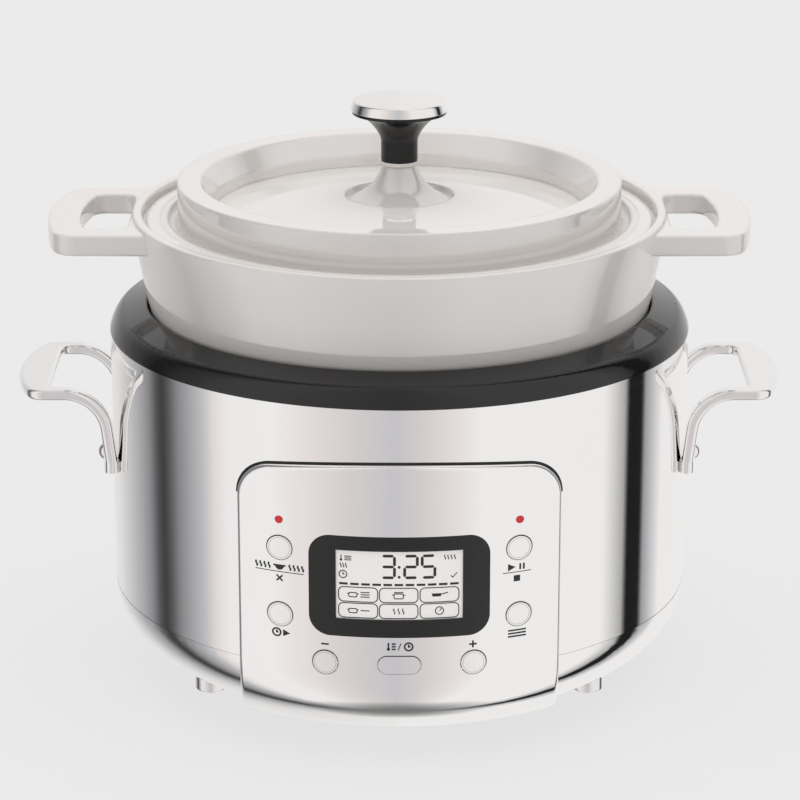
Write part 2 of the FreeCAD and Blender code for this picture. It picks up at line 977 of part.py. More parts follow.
def bezel_outline(margin):
    half = bezel_half_width + margin
    return rounded_face(-half, half, bezel_low - margin, bezel_high + margin, bezel_corner + margin)


def lcd_outline(margin):
    half = lcd_half_width + margin
    return profile(
        (-half, lcd_low - margin),
        (half, lcd_low - margin),
        (half, lcd_high + margin),
        (-half, lcd_high + margin),
    )


def make_display_bezel():
    flange_front = panel_inside - seat
    flange_back = flange_front - bezel_flange_wall
    face = bent_plate(bezel_outline(0), flange_back, panel_face + bezel_proud)
    flange = bent_plate(bezel_outline(bezel_flange), flange_back, flange_front)
    return fused([face, flange]).cut(front_prism(lcd_outline(seat)))


def make_lcd_module():
    """Display glass in the bezel's window, on a frame that stands on the control board."""
    frame_front = panel_inside - 2 * seat - bezel_flange_wall
    glass = bent_plate(lcd_outline(0), frame_front - lcd_frame_wall, panel_face - lcd_recess)
    frame = bent_plate(lcd_outline(lcd_frame), board_front, frame_front)
    return fused([glass, frame])


def make_control_board():
    outline = rounded_face(-board_half_width, board_half_width, board_low, board_high, panel_boss_radius)
    board = bent_plate(outline, board_back, board_front)
    tools = []
    for x, z in panel_boss_places:
        tools.append(radial_bar(x, z, board_screw_radius + screw_slack, 0, panel_face))
    return cut_all(board, tools)


def make_board_screws():
    screws = []
    under_head = board_back - seat
    for x, z in panel_boss_places:
        shank = radial_bar(x, z, board_screw_radius, under_head, board_front + board_screw_grip)
        head = radial_bar(x, z, board_screw_head, under_head - board_screw_head_height, under_head)
        screws.append(fused([shank, head]))
    return screws


def make_panel_screws():
    screws = []
    under_head = shell_inside - seat
    for x, z in panel_screw_places:
        shank = radial_bar(x, z, panel_screw_radius, under_head, panel_inside + panel_screw_grip)
        head = radial_bar(x, z, panel_screw_head, under_head - panel_screw_head_height, under_head)
        screws.append(fused([shank, head]))
    return screws


def make_indicator_pipes():
    """Red light guides from the diodes to the panel's face."""
    guides = []
    inner = disc(board_front + diode_height + seat, 0, tall)
    outer = disc(panel_face + lamp_proud, 0, tall)
    for side in (-1, 1):
        bar = front_prism(pill_face(side * lamp_x, lamp_z, lamp_radius, lamp_radius))
        guides.append(bar.common(outer).cut(inner))
    return guides


def make_indicator_diodes():
    diodes = []
    for side in (-1, 1):
        outline = pill_face(side * lamp_x, lamp_z, diode_radius, diode_radius)
        diodes.append(bent_plate(outline, board_front, board_front + diode_height))
    return diodes


def make_handle():
    """Cast handle on the right: two bent arms, a grip between them and a pad on the shell."""
    half_bar = grip_thickness / 2
    arm_z = grip_top - half_bar
    lean = math.radians(arm_lean)
    bend_end = shell_radius + arm_bend
    bend_centre = (bend_end, arm_z - arm_bend)
    bend_start = 180 - arm_lean
    bend_middle = 135 - arm_lean / 2
    inner_bend = arm_bend - half_bar
    outer_bend = arm_bend + half_bar
    inner_start = corner(bend_centre, inner_bend, bend_start)
    outer_start = corner(bend_centre, outer_bend, bend_start)
    foot_z = pad_side_low + arm_end_height
    inner_foot = inner_start[0] - (inner_start[1] - foot_z) * math.tan(lean)
    outer_foot = outer_start[0] - (outer_start[1] - foot_z) * math.tan(lean)
    side = profile(
        (outer_foot, foot_z),
        outer_start,
        (corner(bend_centre, outer_bend, bend_middle), (bend_end, arm_z + half_bar)),
        (bend_end, arm_z - half_bar),
        (corner(bend_centre, inner_bend, bend_middle), inner_start),
        (inner_foot, foot_z),
    )
    pieces = [make_grip(bend_end, arm_z - half_bar)]
    for y in (-grip_half_length, grip_half_length - arm_width):
        arm = side.extrude(Vector(0, arm_width, 0))
        arm.translate(Vector(0, y, 0))
        pieces.append(arm)
    loop = fused(pieces)
    rims = [edge for edge in loop.Edges if edge.BoundBox.ZMax > foot_z + seat]
    pieces = [loop.makeFillet(grip_edge, rims), make_handle_pad()]
    foot_x = (inner_foot + outer_foot) / 2
    for y in (arm_end_radius - grip_half_length, grip_half_length - arm_end_radius):
        pieces.append(rod(arm_end_radius, Vector(foot_x, y, pad_side_low), Vector(foot_x, y, foot_z)))
    handle = fused(pieces)
    hole = handle_screw_hole(handle_screw_radius + screw_slack)[0]
    return cut_all(handle, [hole, disc(panel_inside, 0, tall)])


def bowed_plate(start_x, outer_x, half_length, bow, corner_radius, low, thickness):
    """Flat plate along X whose outer end is bowed and has rounded corners."""
    sag = bow - math.sqrt(bow ** 2 - half_length ** 2)
    ends = [Vector(outer_x - sag, y, low) for y in (-half_length, half_length)]
    backs = [Vector(start_x, y, low) for y in (half_length, -half_length)]
    edges = [
        Part.Arc(ends[0], Vector(outer_x, 0, low), ends[1]).toShape(),
        Part.LineSegment(ends[1], backs[0]).toShape(),
        Part.LineSegment(backs[0], backs[1]).toShape(),
        Part.LineSegment(backs[1], ends[0]).toShape(),
    ]
    plate = Part.Face(Part.Wire(edges)).extrude(Vector(0, 0, thickness))
    return plate.makeFillet(corner_radius, upright_edges(plate, start_x))


def make_grip(start_x, low):
    """Bowed plate that the hand holds, with the finger hole between it and the arms."""
    outer_x = shell_radius + grip_reach
    plate = bowed_plate(start_x, outer_x, grip_half_length, grip_bow, grip_corner, low, grip_thickness)
    hole_half = grip_half_length - arm_width
    hole = block(
        Vector(start_x - grip_corner, -hole_half, low),
        Vector(outer_x - grip_width, hole_half, low + grip_thickness),
    )
    return plate.cut(hole.makeFillet(grip_hole_corner, upright_edges(hole, start_x)))


def upright(edge):
    return edge.BoundBox.ZLength > edge.BoundBox.XLength + edge.BoundBox.YLength


def upright_edges(shape, beyond_x):
    """Upright edges of a shape that lie further out than an X."""
    return [edge for edge in shape.Edges if upright(edge) and edge.BoundBox.XMin > beyond_x + seat]


def make_handle_pad():
    """Curved plate on the shell between the feet of the arms."""
    half = grip_half_length - arm_end_radius
    low_ends = [Vector(0, y, pad_side_low) for y in (-half, half)]
    high_ends = [Vector(0, y, pad_top) for y in (half, -half)]
    edges = [
        Part.Arc(low_ends[0], Vector(0, 0, pad_low), low_ends[1]).toShape(),
        Part.LineSegment(low_ends[1], high_ends[0]).toShape(),
        Part.LineSegment(high_ends[0], high_ends[1]).toShape(),
        Part.LineSegment(high_ends[1], low_ends[0]).toShape(),
    ]
    bar = Part.Face(Part.Wire(edges)).extrude(Vector(far, 0, 0))
    return bar.common(tube(panel_inside, panel_inside + pad_wall, 0, tall))


def make_handle_screw():
    """Domed screw from outside through the handle's pad and the shell."""
    pad_face = panel_inside + pad_wall
    under_head = Vector(pad_face, 0, handle_screw_z)
    tip = Vector(shell_inside - handle_nut_height - seat, 0, handle_screw_z)
    shank = rod(handle_screw_radius, tip, under_head)
    dome = (handle_head_radius ** 2 + handle_head_height ** 2) / (2 * handle_head_height)
    ball = Part.makeSphere(dome, under_head + along_x * (handle_head_height - dome))
    cap = ball.common(rod(dome, under_head, under_head + along_x * dome))
    return fused([shank, cap])


def make_handle_nut():
    """Six-sided nut against the inside of the shell."""
    outer = shell_inside - seat
    corners = []
    for index in range(7):
        turn = math.radians(60 * index)
        y = handle_nut_radius * math.cos(turn)
        z = handle_screw_z + handle_nut_radius * math.sin(turn)
        corners.append(Vector(outer - handle_nut_height, y, z))
    nut = Part.Face(Part.makePolygon(corners)).extrude(Vector(handle_nut_height, 0, 0))
    nut = nut.common(disc(outer, 0, tall))
    return nut.cut(handle_screw_hole(handle_screw_radius)[0])


def make_cooking_pot():
    inner_corner = pot_corner - pot_wall
    low_centre = (pot_radius - pot_corner, pot_base + pot_corner)
    inner_centre = (pot_inside - inner_corner, pot_base + pot_floor + inner_corner)
    band_low = pot_rim - rim_band
    flare_low = ring_top - flare_sink
    flare_height = band_low - flare_low
    outer_edge = (rim_radius - rim_round, pot_rim - rim_round)
    inner_edge = (ledge_radius + rim_round, pot_rim - rim_round)
    bowl = turned(
        (0, pot_base),
        (low_centre[0], pot_base),
        (corner(low_centre, pot_corner, -45), (pot_radius, low_centre[1])),
        (pot_radius, flare_low),
        (
            (pot_radius + rim_overhang / 3, flare_low + flare_height / 4),
            (rim_radius, band_low - flare_height / 5),
            (rim_radius, band_low),
        ),
        (rim_radius, outer_edge[1]),
        (corner(outer_edge, rim_round, 45), (outer_edge[0], pot_rim)),
        (inner_edge[0], pot_rim),
        (corner(inner_edge, rim_round, 135), (ledge_radius, inner_edge[1])),
        (ledge_radius, ledge_z),
        (pot_inside, ledge_z),
        (pot_inside, inner_centre[1]),
        (corner(inner_centre, inner_corner, -45), (inner_centre[0], pot_base + pot_floor)),
        (0, pot_base + pot_floor),
    )
    loop = make_pot_loop().cut(disc(ledge_radius + rim_round, 0, tall))
    return fused([bowl, loop, mirrored(loop)])


def make_pot_loop():
    """Flat loop handle on the right of the pot, with rounded corners and edges."""
    low = pot_rim - loop_below_rim - loop_thickness
    root_x = ledge_radius / 2
    outer_x = rim_radius + loop_reach
    plate = bowed_plate(root_x, outer_x, loop_half_length, loop_bow, loop_corner, low, loop_thickness)
    hole_half = loop_half_length - loop_side
    hole_bow = loop_bow - loop_bar
    hole_root = rim_radius + loop_root
    hole_end = outer_x - loop_bar
    hole = bowed_plate(hole_root, hole_end, hole_half, hole_bow, loop_hole_corner, low, loop_thickness)
    root_corners = [edge for edge in upright_edges(hole, root_x) if edge.BoundBox.XMax < hole_root + seat]
    loop = plate.cut(hole.makeFillet(loop_hole_corner, root_corners))
    rims = [edge for edge in loop.Edges if edge.BoundBox.ZLength < loop_edge]
    return loop.makeFillet(loop_edge, [edge for edge in rims if edge.BoundBox.XMax > root_x + loop_edge])


def lid_levels():
    """Heights on the lid: flange top, ring crest, foot of the dome and middle of the dome."""
    flange_top = ledge_z + lid_flange
    crest = flange_top + lid_ring_height
    dome_foot = flange_top + lid_dome_foot
    return flange_top, crest, dome_foot, dome_foot + lid_dome_rise


def boss_top():
    return lid_levels()[3] - boss_recess_depth + boss_height


def soft_corner(before, tip, after, reach):
    """Two profile steps that round a corner: where the rounding starts and its curve."""
    steps = []
    for end in (before, after):
        distance = math.hypot(end[0] - tip[0], end[1] - tip[1])
        share = reach / distance
        steps.append((tip[0] + share * (end[0] - tip[0]), tip[1] + share * (end[1] - tip[1])))
    return steps[0], (tip, tip, steps[1])


def make_lid():
    """Cast lid: flange with a ridge, groove, raised hollow ring, domed middle and a boss for the knob."""
    flange_top, crest, dome_foot, dome_top = lid_levels()
    edge = ledge_radius - lid_gap
    ridge_out = edge - lid_flange_width
    ridge_in = ridge_out - lid_ridge_width
    ridge_top = flange_top + lid_ridge_rise
    wall_out = ridge_in - lid_groove_width
    wall_top = (wall_out, crest)
    groove_pull = lid_groove_depth * 4 / 3    # a curve reaches three quarters of the way to its pulls
    crest_in = (wall_out - lid_crest_width, crest)
    cone_foot = (crest_in[0] - lid_cone_run, crest - lid_cone_drop)
    dome_edge = (cone_foot[0], dome_foot)
    lip = pot_inside - lid_lip_gap
    lip_z = ledge_z - lid_lip_depth
    hollow_out = wall_out - lid_wall
    hollow_in = cone_foot[0] + lid_wall
    hollow_top = crest - lid_wall
    hollow_shoulder = crest - lid_cone_drop - lid_wall
    dome_under = dome_foot - lid_wall
    recess_z = dome_top - boss_recess_depth
    recess_under = recess_z - lid_wall
    neck_z = boss_top()
    boss_width = boss_radius - boss_neck
    dome_radius = (cone_foot[0] ** 2 + lid_dome_rise ** 2) / (2 * lid_dome_rise)
    dome_middle = (cone_foot[0] + boss_recess_radius) / 2
    lid = turned(
        (edge, ledge_z),
        *soft_corner((edge, ledge_z), (edge, flange_top), (ridge_out, flange_top), lid_edge_round),
        (ridge_out, flange_top),
        (ridge_out - lid_ridge_rise, ridge_top),
        (ridge_in, ridge_top),
        ((ridge_in, ridge_top - groove_pull), (wall_out, ridge_top - groove_pull), (wall_out, ridge_top)),
        *soft_corner((wall_out, ridge_top), wall_top, crest_in, lid_crest_round),
        *soft_corner(wall_top, crest_in, cone_foot, lid_crest_round),
        *soft_corner(crest_in, cone_foot, dome_edge, lid_crest_round),
        dome_edge,
        (
            (dome_middle, sphere_height(dome_radius, dome_middle, dome_top)),
            (boss_recess_radius, sphere_height(dome_radius, boss_recess_radius, dome_top)),
        ),
        (boss_recess_radius - boss_recess_draft, recess_z),
        (boss_radius, recess_z),
        (
            (boss_radius - boss_sweep_in * boss_width, recess_z + boss_sweep_low * boss_height),
            (boss_neck + boss_sweep_out * boss_width, recess_z + boss_sweep_high * boss_height),
            (boss_neck, neck_z),
        ),
        (0, neck_z),
        (0, recess_under),
        (dome_middle, recess_under),
        (cone_foot[0] - lid_wall, dome_under),
        (hollow_in, dome_under),
        (hollow_in, hollow_shoulder),
        (crest_in[0] + lid_wall, hollow_top),
        (hollow_out, hollow_top),
        (hollow_out, lip_z),
        (lip, lip_z),
        (lip, ledge_z),
    )
    return lid.cut(disc(knob_screw_radius + screw_slack, 0, neck_z))


def sphere_height(radius, distance, top):
    """Height of a shallow dome at a distance from its middle."""
    return top - radius + math.sqrt(radius ** 2 - distance ** 2)


def make_knob_collar():
    low = boss_top()
    return tube(knob_screw_radius + screw_slack, collar_radius, low, low + collar_height)


def make_knob_stem():
    """Waisted black stem with a round pin on top that centres the cap."""
    low = boss_top() + collar_height
    top = low + stem_height
    flare = stem_height - stem_straight - stem_edge
    flare_top = top - stem_edge
    stem = turned(
        (0, low),
        (stem_radius, low),
        (stem_radius, low + stem_straight),
        (
            (stem_radius, low + stem_straight + stem_flare_low * flare),
            (stem_radius + stem_flare_in * (stem_top_radius - stem_radius), flare_top),
            (stem_top_radius, flare_top),
        ),
        (stem_top_radius, top),
        (stem_pin_radius, top),
        (stem_pin_radius, top + stem_pin_height),
        (0, top + stem_pin_height),
    )
    return stem.cut(disc(knob_screw_radius, low, low + knob_screw_grip))


def make_knob_cap():
    """Metal cap with a slanted side and a slightly domed top, over the stem's pin."""
    low = boss_top() + collar_height + stem_height
    high = low + cap_band
    low_edge = (cap_radius, low)
    high_edge = (cap_radius - cap_draft, high)
    pocket = stem_pin_radius + seat
    crown_edge = high_edge[0] - cap_high_round
    crown_radius = (crown_edge ** 2 + cap_crown ** 2) / (2 * cap_crown)
    half_way = crown_edge / 2
    return turned(
        (pocket, low),
        *soft_corner((pocket, low), low_edge, high_edge, cap_low_round),
        *soft_corner(low_edge, high_edge, (pocket, high), cap_high_round),
        ((half_way, sphere_height(crown_radius, half_way, high + cap_crown)), (0, high + cap_crown)),
        (0, low + stem_pin_height),
        (pocket, low + stem_pin_height),
    )


def make_knob_screw():
    seat_z = lid_levels()[3] - lid_wall - boss_recess_depth
    top = boss_top() + collar_height + knob_screw_grip
    return upward_screw(knob_screw_radius, knob_screw_head, knob_screw_head_height, seat_z, top)


def make_power_inlet():
    """Appliance inlet: a flange on the shell and a socket that reaches inside."""
    back = shell_radius - inlet_depth
    flange = block(
        Vector(-inlet_half_width, 0, inlet_z - inlet_half_height),
        Vector(inlet_half_width, front_reach, inlet_z + inlet_half_height),
    ).cut(disc(panel_inside, 0, tall))
    body = block(
        Vector(-inlet_body_half_width, back, inlet_z - inlet_body_half_height),
        Vector(inlet_body_half_width, panel_inside + seat, inlet_z + inlet_body_half_height),
    )
    socket = block(
        Vector(-socket_half_width, back + inlet_back_wall, inlet_z - socket_half_height),
        Vector(socket_half_width, front_reach, inlet_z + socket_half_height),
    )
    return cut_all(fused([flange, body]), [socket] + make_inlet_pins())


def pin_places():
    return (
        (-pin_spacing, inlet_z - pin_offset),
        (0.0, inlet_z + pin_offset),
        (pin_spacing, inlet_z - pin_offset),
    )


def make_inlet_pins():
    tail = shell_radius - inlet_depth - pin_tail
    tip = front_reach - pin_tip_depth
    pins = []
    for x, z in pin_places():
        low = Vector(x - pin_wall / 2, tail, z - pin_width / 2)
        high = Vector(x + pin_wall / 2, tip, z + pin_width / 2)
        pins.append(block(low, high))
    return pins


def cover_screw_bars(radius):
    bar = disc(radius, cover_top - cover_wall, cover_top + pan_wall, cover_screw_circle())
    return turned_copies(bar, cover_screw_count)


def cover_screw_circle():
    return (pan_opening + cover_radius) / 2


def make_bottom_cover():
    cover = disc(cover_radius, cover_top - cover_wall, cover_top)
    tools = cover_screw_bars(cover_screw_radius + screw_slack)
    first = -(vent_count - 1) / 2 * vent_pitch
    for side in (-1, 1):
        for index in range(vent_count):
            y = side * vent_place
            x = first + index * vent_pitch
            low = Vector(x - vent_width / 2, y - vent_length / 2, 0)
            high = Vector(x + vent_width / 2, y + vent_length / 2, cover_top)
            tools.append(block(low, high))
    return cut_all(cover, tools)


def make_cover_screws():
    screw = upward_screw(
        cover_screw_radius, cover_screw_head, cover_screw_head_height, cover_top - cover_wall,
        cover_top + pan_wall,
    )
    return turned_copies(moved(screw, cover_screw_circle(), 0), cover_screw_count)


def make_foot(x, y):
    """Short round foot whose top follows the pan, with a hidden screw and a soft pad."""
    body = disc(foot_radius, pad_proud, seam_z, x, y).cut(pan_filled(seat / 2))
    rims = [edge for edge in body.Edges if edge.BoundBox.ZMax < pad_proud + seat]
    body = body.makeFillet(foot_round, rims)
    tools = [
        disc(pad_radius + seat, 0, pad_height, x, y),
        disc(foot_screw_head + screw_slack, pad_height, foot_screw_seat, x, y),
        disc(foot_screw_radius + screw_slack, foot_screw_seat, seam_z, x, y),
    ]
    return cut_all(body, tools)


def make_foot_screws():
    screws = []
    for x, y in foot_places().values():
        screw = upward_screw(
            foot_screw_radius, foot_screw_head, foot_screw_head_height, foot_screw_seat,
            foot_height + foot_screw_grip,
        )
        screws.append(moved(screw, x, y))
    return screws


def make_foot_pads():
    return [disc(pad_radius, 0, pad_height, x, y) for x, y in foot_places().values()]


def standoff_places():
    return [(side * standoff_x, end * standoff_y) for side in (-1, 1) for end in (-1, 1)]


def make_standoffs():
    return [disc(standoff_radius, cover_top, power_board_z, x, y) for x, y in standoff_places()]


def make_power_board():
    return block(
        Vector(-power_board_half_x, -power_board_half_y, power_board_z),
        Vector(power_board_half_x, power_board_half_y, power_board_top),
    )


def board_block(size, place):
    """Box that stands on the power board."""
    half_x = size[0] / 2
    half_y = size[1] / 2
    return block(
        Vector(place[0] - half_x, place[1] - half_y, power_board_top),
        Vector(place[0] + half_x, place[1] + half_y, power_board_top + size[2]),
    )


def terminal_block_top():
    return power_board_top + terminal_block_size[2]


def make_mains_wires():
    """Wires from the inlet's outer pins, forwards and down into the terminal block."""
    tail = shell_radius - inlet_depth - pin_tail
    block_y = terminal_block_place[1]
    wires = []
    for side in (-1, 1):
        x = side * pin_spacing
        z = inlet_z - pin_offset
        wires.append(wire_tube([
            Vector(x, tail, z),
            Vector(x, block_y, z),
            Vector(x, block_y, terminal_block_top()),
        ]))
    return wires


def element_tab_top():
    return power_board_top + element_tab_height


def make_element_tabs():
    top = element_tab_top()
    places = terminal_places()
    return [disc(element_tab_radius, power_board_top, top, element_tab_x, y) for x, y in places]


def make_element_wires():
    """Wires from the power board's tabs up to the element's pins."""
    pin_low = plate_bottom - element_drop - terminal_length
    wires = []
    for x, y in terminal_places():
        wires.append(wire_tube([
            Vector(element_tab_x, y, element_tab_top()),
            Vector(element_tab_x, y, element_wire_level),
            Vector(x, y, element_wire_level),
            Vector(x, y, pin_low),
        ]))
    return wires


def ribbon_start():
    """Y of the connector's inner face on the control board."""
    return -math.sqrt(board_back ** 2 - (connector_size[0] / 2) ** 2) + connector_size[1]


def ribbon_end_y():
    return -power_board_half_y + connector_size[1]


def make_board_connectors():
    """One connector behind the control board and one on the power board."""
    half = connector_size[0] / 2
    half_height = connector_size[2] / 2
    rear = block(
        Vector(-half, -shell_radius, ribbon_height - half_height),
        Vector(half, ribbon_start(), ribbon_height + half_height),
    ).common(disc(board_back, 0, tall))
    low = board_block(connector_size, (0.0, ribbon_end_y()))
    return [rear, low]


def make_ribbon_cable():
    """Flat cable from the control board, back and down to the power board."""
    start = ribbon_start()
    end_y = ribbon_end_y()
    low = power_board_top + connector_size[2]
    outer = wire_bend + ribbon_wall / 2
    inner = wire_bend - ribbon_wall / 2
    centre = (end_y - wire_bend, ribbon_height - wire_bend)
    strip = profile(
        (start, ribbon_height - ribbon_wall / 2),
        (centre[0], ribbon_height - ribbon_wall / 2),
        (corner(centre, inner, 45), (centre[0] + inner, centre[1])),
        (centre[0] + inner, low),
        (centre[0] + outer, low),
        (centre[0] + outer, centre[1]),
        (corner(centre, outer, 45), (centre[0], ribbon_height + ribbon_wall / 2)),
        (start, ribbon_height + ribbon_wall / 2),
    ).extrude(Vector(0, 2 * ribbon_half_width, 0))
    strip.rotate(origin, up, 90)
    strip.translate(Vector(ribbon_half_width, 0, 0))
    return strip


def make_parts():
    element = make_heating_element()
    handle = make_handle()
    handle_screw = make_handle_screw()
    handle_nut = make_handle_nut()
    parts = {
        "outer_shell": make_outer_shell(),
        "base_pan": make_base_pan(),
        "rim_ring": make_rim_ring(),
        "inner_liner": make_inner_liner(),
        "liner_screws": make_liner_screws(),
        "heating_plate": make_heating_plate(element),
        "heating_element": element,
        "plate_posts": make_plate_posts(),
        "plate_screws": make_plate_screws(),
        "thermal_cutout": make_thermal_cutout(),
        "sensor_housing": make_sensor_housing(),
        "sensor_plunger": make_sensor_plunger(),
        "sensor_spring": make_sensor_spring(),
        "heat_shield": make_heat_shield(),
        "shield_spacers": make_shield_spacers(),
        "tie_rods": tie_rod_bars(tie_rod_radius),
        "control_panel": make_control_panel(),
        "panel_screws": make_panel_screws(),
        "display_bezel": make_display_bezel(),
        "lcd_module": make_lcd_module(),
        "control_board": make_control_board(),
        "board_screws": make_board_screws(),
        "push_switches": make_switches(),
        "indicator_pipes": make_indicator_pipes(),
        "indicator_diodes": make_indicator_diodes(),
        "handle_right": handle,
        "handle_left": mirrored(handle),
        "handle_screws": [handle_screw, mirrored(handle_screw)],
        "handle_nuts": [handle_nut, mirrored(handle_nut)],
        "power_inlet": make_power_inlet(),
        "inlet_pins": make_inlet_pins(),
        "bottom_cover": make_bottom_cover(),
        "cover_screws": make_cover_screws(),
        "foot_screws": make_foot_screws(),
        "foot_pads": make_foot_pads(),
        "board_standoffs": make_standoffs(),
        "power_board": make_power_board(),
        "relay": board_block(relay_size, relay_place),
        "transformer": board_block(transformer_size, transformer_place),
        "terminal_block": board_block(terminal_block_size, terminal_block_place),
        "board_connectors": make_board_connectors() + make_element_tabs(),
        "power_wires": make_mains_wires() + make_element_wires(),
        "ribbon_cable": make_ribbon_cable(),
        "cooking_pot": make_cooking_pot(),
        "lid": make_lid(),
        "knob_collar": make_knob_collar(),
        "knob_stem": make_knob_stem(),
        "knob_cap": make_knob_cap(),
        "knob_screw": make_knob_screw(),
    }
    for name, place in foot_places().items():
        parts["foot_" + name] = make_foot(*place)
    for name, place in buttons.items():
        parts[name] = make_button(*place)
    return parts


os.makedirs("parts", exist_ok=True)
for node, shape in make_parts().items():
    if isinstance(shape, list):
        shape = Part.makeCompound(shape)
    shape.exportStep("parts/" + node + ".step")
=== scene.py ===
"""Studio, materials, printed marks and display marks for the electric dutch oven."""

import math

import bmesh
import bpy
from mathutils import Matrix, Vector


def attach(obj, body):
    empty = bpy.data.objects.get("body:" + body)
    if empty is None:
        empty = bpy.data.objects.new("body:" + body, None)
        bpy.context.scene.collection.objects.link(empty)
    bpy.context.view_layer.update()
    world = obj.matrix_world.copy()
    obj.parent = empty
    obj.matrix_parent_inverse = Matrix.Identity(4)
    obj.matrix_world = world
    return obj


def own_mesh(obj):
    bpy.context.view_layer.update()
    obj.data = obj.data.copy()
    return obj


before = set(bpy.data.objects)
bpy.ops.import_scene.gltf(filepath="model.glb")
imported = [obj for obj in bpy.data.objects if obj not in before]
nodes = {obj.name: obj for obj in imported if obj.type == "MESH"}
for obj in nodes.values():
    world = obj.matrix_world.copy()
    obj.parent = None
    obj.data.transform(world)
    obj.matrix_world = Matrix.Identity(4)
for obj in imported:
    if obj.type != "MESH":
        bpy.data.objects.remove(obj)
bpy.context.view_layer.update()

mm = 0.001


def corners_of(name):
    """Low and high corner of a CAD node's box, in millimetres."""
    points = [nodes[name].matrix_world @ Vector(point) for point in nodes[name].bound_box]
    low = [min(point[i] for point in points) / mm for i in range(3)]
    high = [max(point[i] for point in points) / mm for i in range(3)]
    return low, high


def middle_of(name):
    """Middle of a CAD node's box, in millimetres across and up."""
    low, high = corners_of(name)
    return (low[0] + high[0]) / 2, (low[2] + high[2]) / 2


# Camera, from the photograph's viewing angle
camera_distance = 1.6659
camera_height = 0.679645
camera_tilt = 0.3114
camera_lens = 148.19
camera_shift = 0.0008

# Studio light: pale backdrop, even light from all round and one wide soft lamp overhead
backdrop = 0.83
mirror_white = 0.87        # brightness of a white board as metal shows it
fill_light = 0.55
lamp_strength = 1.57
lamp_width = math.radians(70)
floor_half = 30.0
floor_colour = (0.79, 0.79, 0.79)
floor_glow = 0.85          # share of the backdrop's brightness that the camera sees on the floor

# Boards that stand round the object and show in its metal: compass angle from the camera, grey level, tint
plain = (1.0, 0.99, 0.985)
blush = (1.05, 0.985, 0.975)
cool = (1.0, 0.985, 1.03)
boards = (
    (-180, 0.80, plain), (-152, 0.72, plain), (-137, 0.56, plain), (-126, 0.40, cool),
    (-118, 0.26, cool), (-112, 0.09, cool), (-107.5, 0.045, plain), (-103, 0.10, plain),
    (-97, 0.25, cool), (-91, 0.36, cool), (-84, 0.50, cool), (-78, 0.70, blush),
    (-71, 0.83, plain), (-50, 0.84, plain), (-36, 0.73, blush), (-22, 0.64, blush),
    (-2, 0.55, cool), (10, 0.62, blush), (20, 0.71, blush), (32, 0.84, plain),
    (88, 0.84, plain), (94, 0.62, plain), (100.4, 0.37, plain), (101.8, 0.013, plain),
    (112, 0.015, plain), (113.4, 0.30, cool), (119, 0.50, cool), (128, 0.83, plain),
)
board_white = 0.84         # grey level that counts as white in the list above

# Shaded floor right below, as metal that faces down shows it: grey level, and upright part of the steepest
# and the shallowest direction in which it shows
floor_mirror = 0.20
floor_steep = -0.998
floor_shallow = -0.94

# How round the enamel's cast edges look, in metres
enamel_edge = 0.003

# Fronts that carry marks, in millimetres, from the frame
panel_low, panel_high = corners_of("control_panel")
panel_radius = -panel_low[1]
panel_half_width = panel_high[0]
panel_top = panel_high[2]
glass_radius = -corners_of("lcd_module")[0][1]
shell_radius = corners_of("outer_shell")[1][0]
button_face = -corners_of("button_temp_time")[0][1]

# Printed and shown marks, in millimetres
mark_sink = 0.10
mark_rise = 0.06
mark_step = 1.5
print_line = 0.85
glass_line = 0.5

# Buttons, in millimetres: flange behind the panel, painted shadow ring round each hole, and a fine line on
# round ones
button_flange = 1.0
hole_shadow_line = 0.25
trim_line = 0.35
trim_inset = 1.2
oblong_round = 5.0
round_buttons = (
    "button_keep_warm", "button_preset", "button_start", "button_menu", "button_minus", "button_plus",
)

# Signs beside the buttons: places from the button's middle, in millimetres across and up
sign_places = {
    "button_keep_warm": (-0.05, -10.0), "button_start": (-1.05, -10.0), "button_preset": (-1.8, -9.9),
    "button_menu": (-0.7, -10.1), "button_minus": (-0.1, 9.6), "button_plus": (-0.3, 9.6),
    "button_temp_time": (-5.4, 9.7),
}
divider_drop = 2.7         # from a sign down to the line under it
second_drop = 6.0          # from a sign down to the sign under that line
divider_line = 0.4

# What the display shows, in millimetres across and up
shown_time = "325"
digit_lefts = (-8.6, 2.6, 11.2)
digit_low = 102.0
digit_height = 11.3
digit_width = 6.2
digit_line = 1.4
colon_x = -0.1
colon_levels = (102.3, 107.5)
colon_dot = 0.75
dash_count = 11
dash_start = -29.6
dash_pitch = 5.45
dash_length = 4.2
dash_level = 98.2
dash_line = 1.15
box_columns = ((-29.9, -10.65), (-9.8, 9.15), (10.2, 29.3))
box_rows = ((88.9, 96.5), (80.5, 88.1))
box_corner = 2.4
heat_place = (-28.6, 111.6)
heat_bars_gap = 3.3        # from the thermometer to the bars beside it
steam_place = (-28.8, 107.8)
clock_place = (-27.7, 103.1)
warm_place = (22.4, 112.2)
tick_points = [(25.2, 102.6), (26.2, 101.5), (28.4, 104.0)]
tick_line = 0.45
wave_height = 2.4

# Bars that each seven-segment numeral lights
segments = {
    "0": "abcdef", "1": "bc", "2": "abged", "3": "abgcd", "4": "fgbc", "5": "afgcd",
    "6": "afgedc", "7": "abc", "8": "abcdefg", "9": "abcdfg",
}
segment_gap = 0.15         # share of a bar's thickness left open at each of its ends

# Dark strip painted between the panel's edge and the shell as its shadow and dark reflection, in
# millimetres
panel_crown = 535.0
panel_corner = 18.0
shadow_strip_width = 0.8
shadow_strip_rise = 0.6


def add_camera():
    data = bpy.data.cameras.new("camera")
    data.lens = camera_lens
    data.sensor_width = 36.0
    data.shift_x = camera_shift
    data.clip_end = 200.0
    camera = bpy.data.objects.new("camera", data)
    camera.location = (0, -camera_distance, camera_height)
    camera.rotation_euler = (math.pi / 2 - camera_tilt, 0, 0)
    bpy.context.scene.collection.objects.link(camera)
    bpy.context.scene.camera = camera


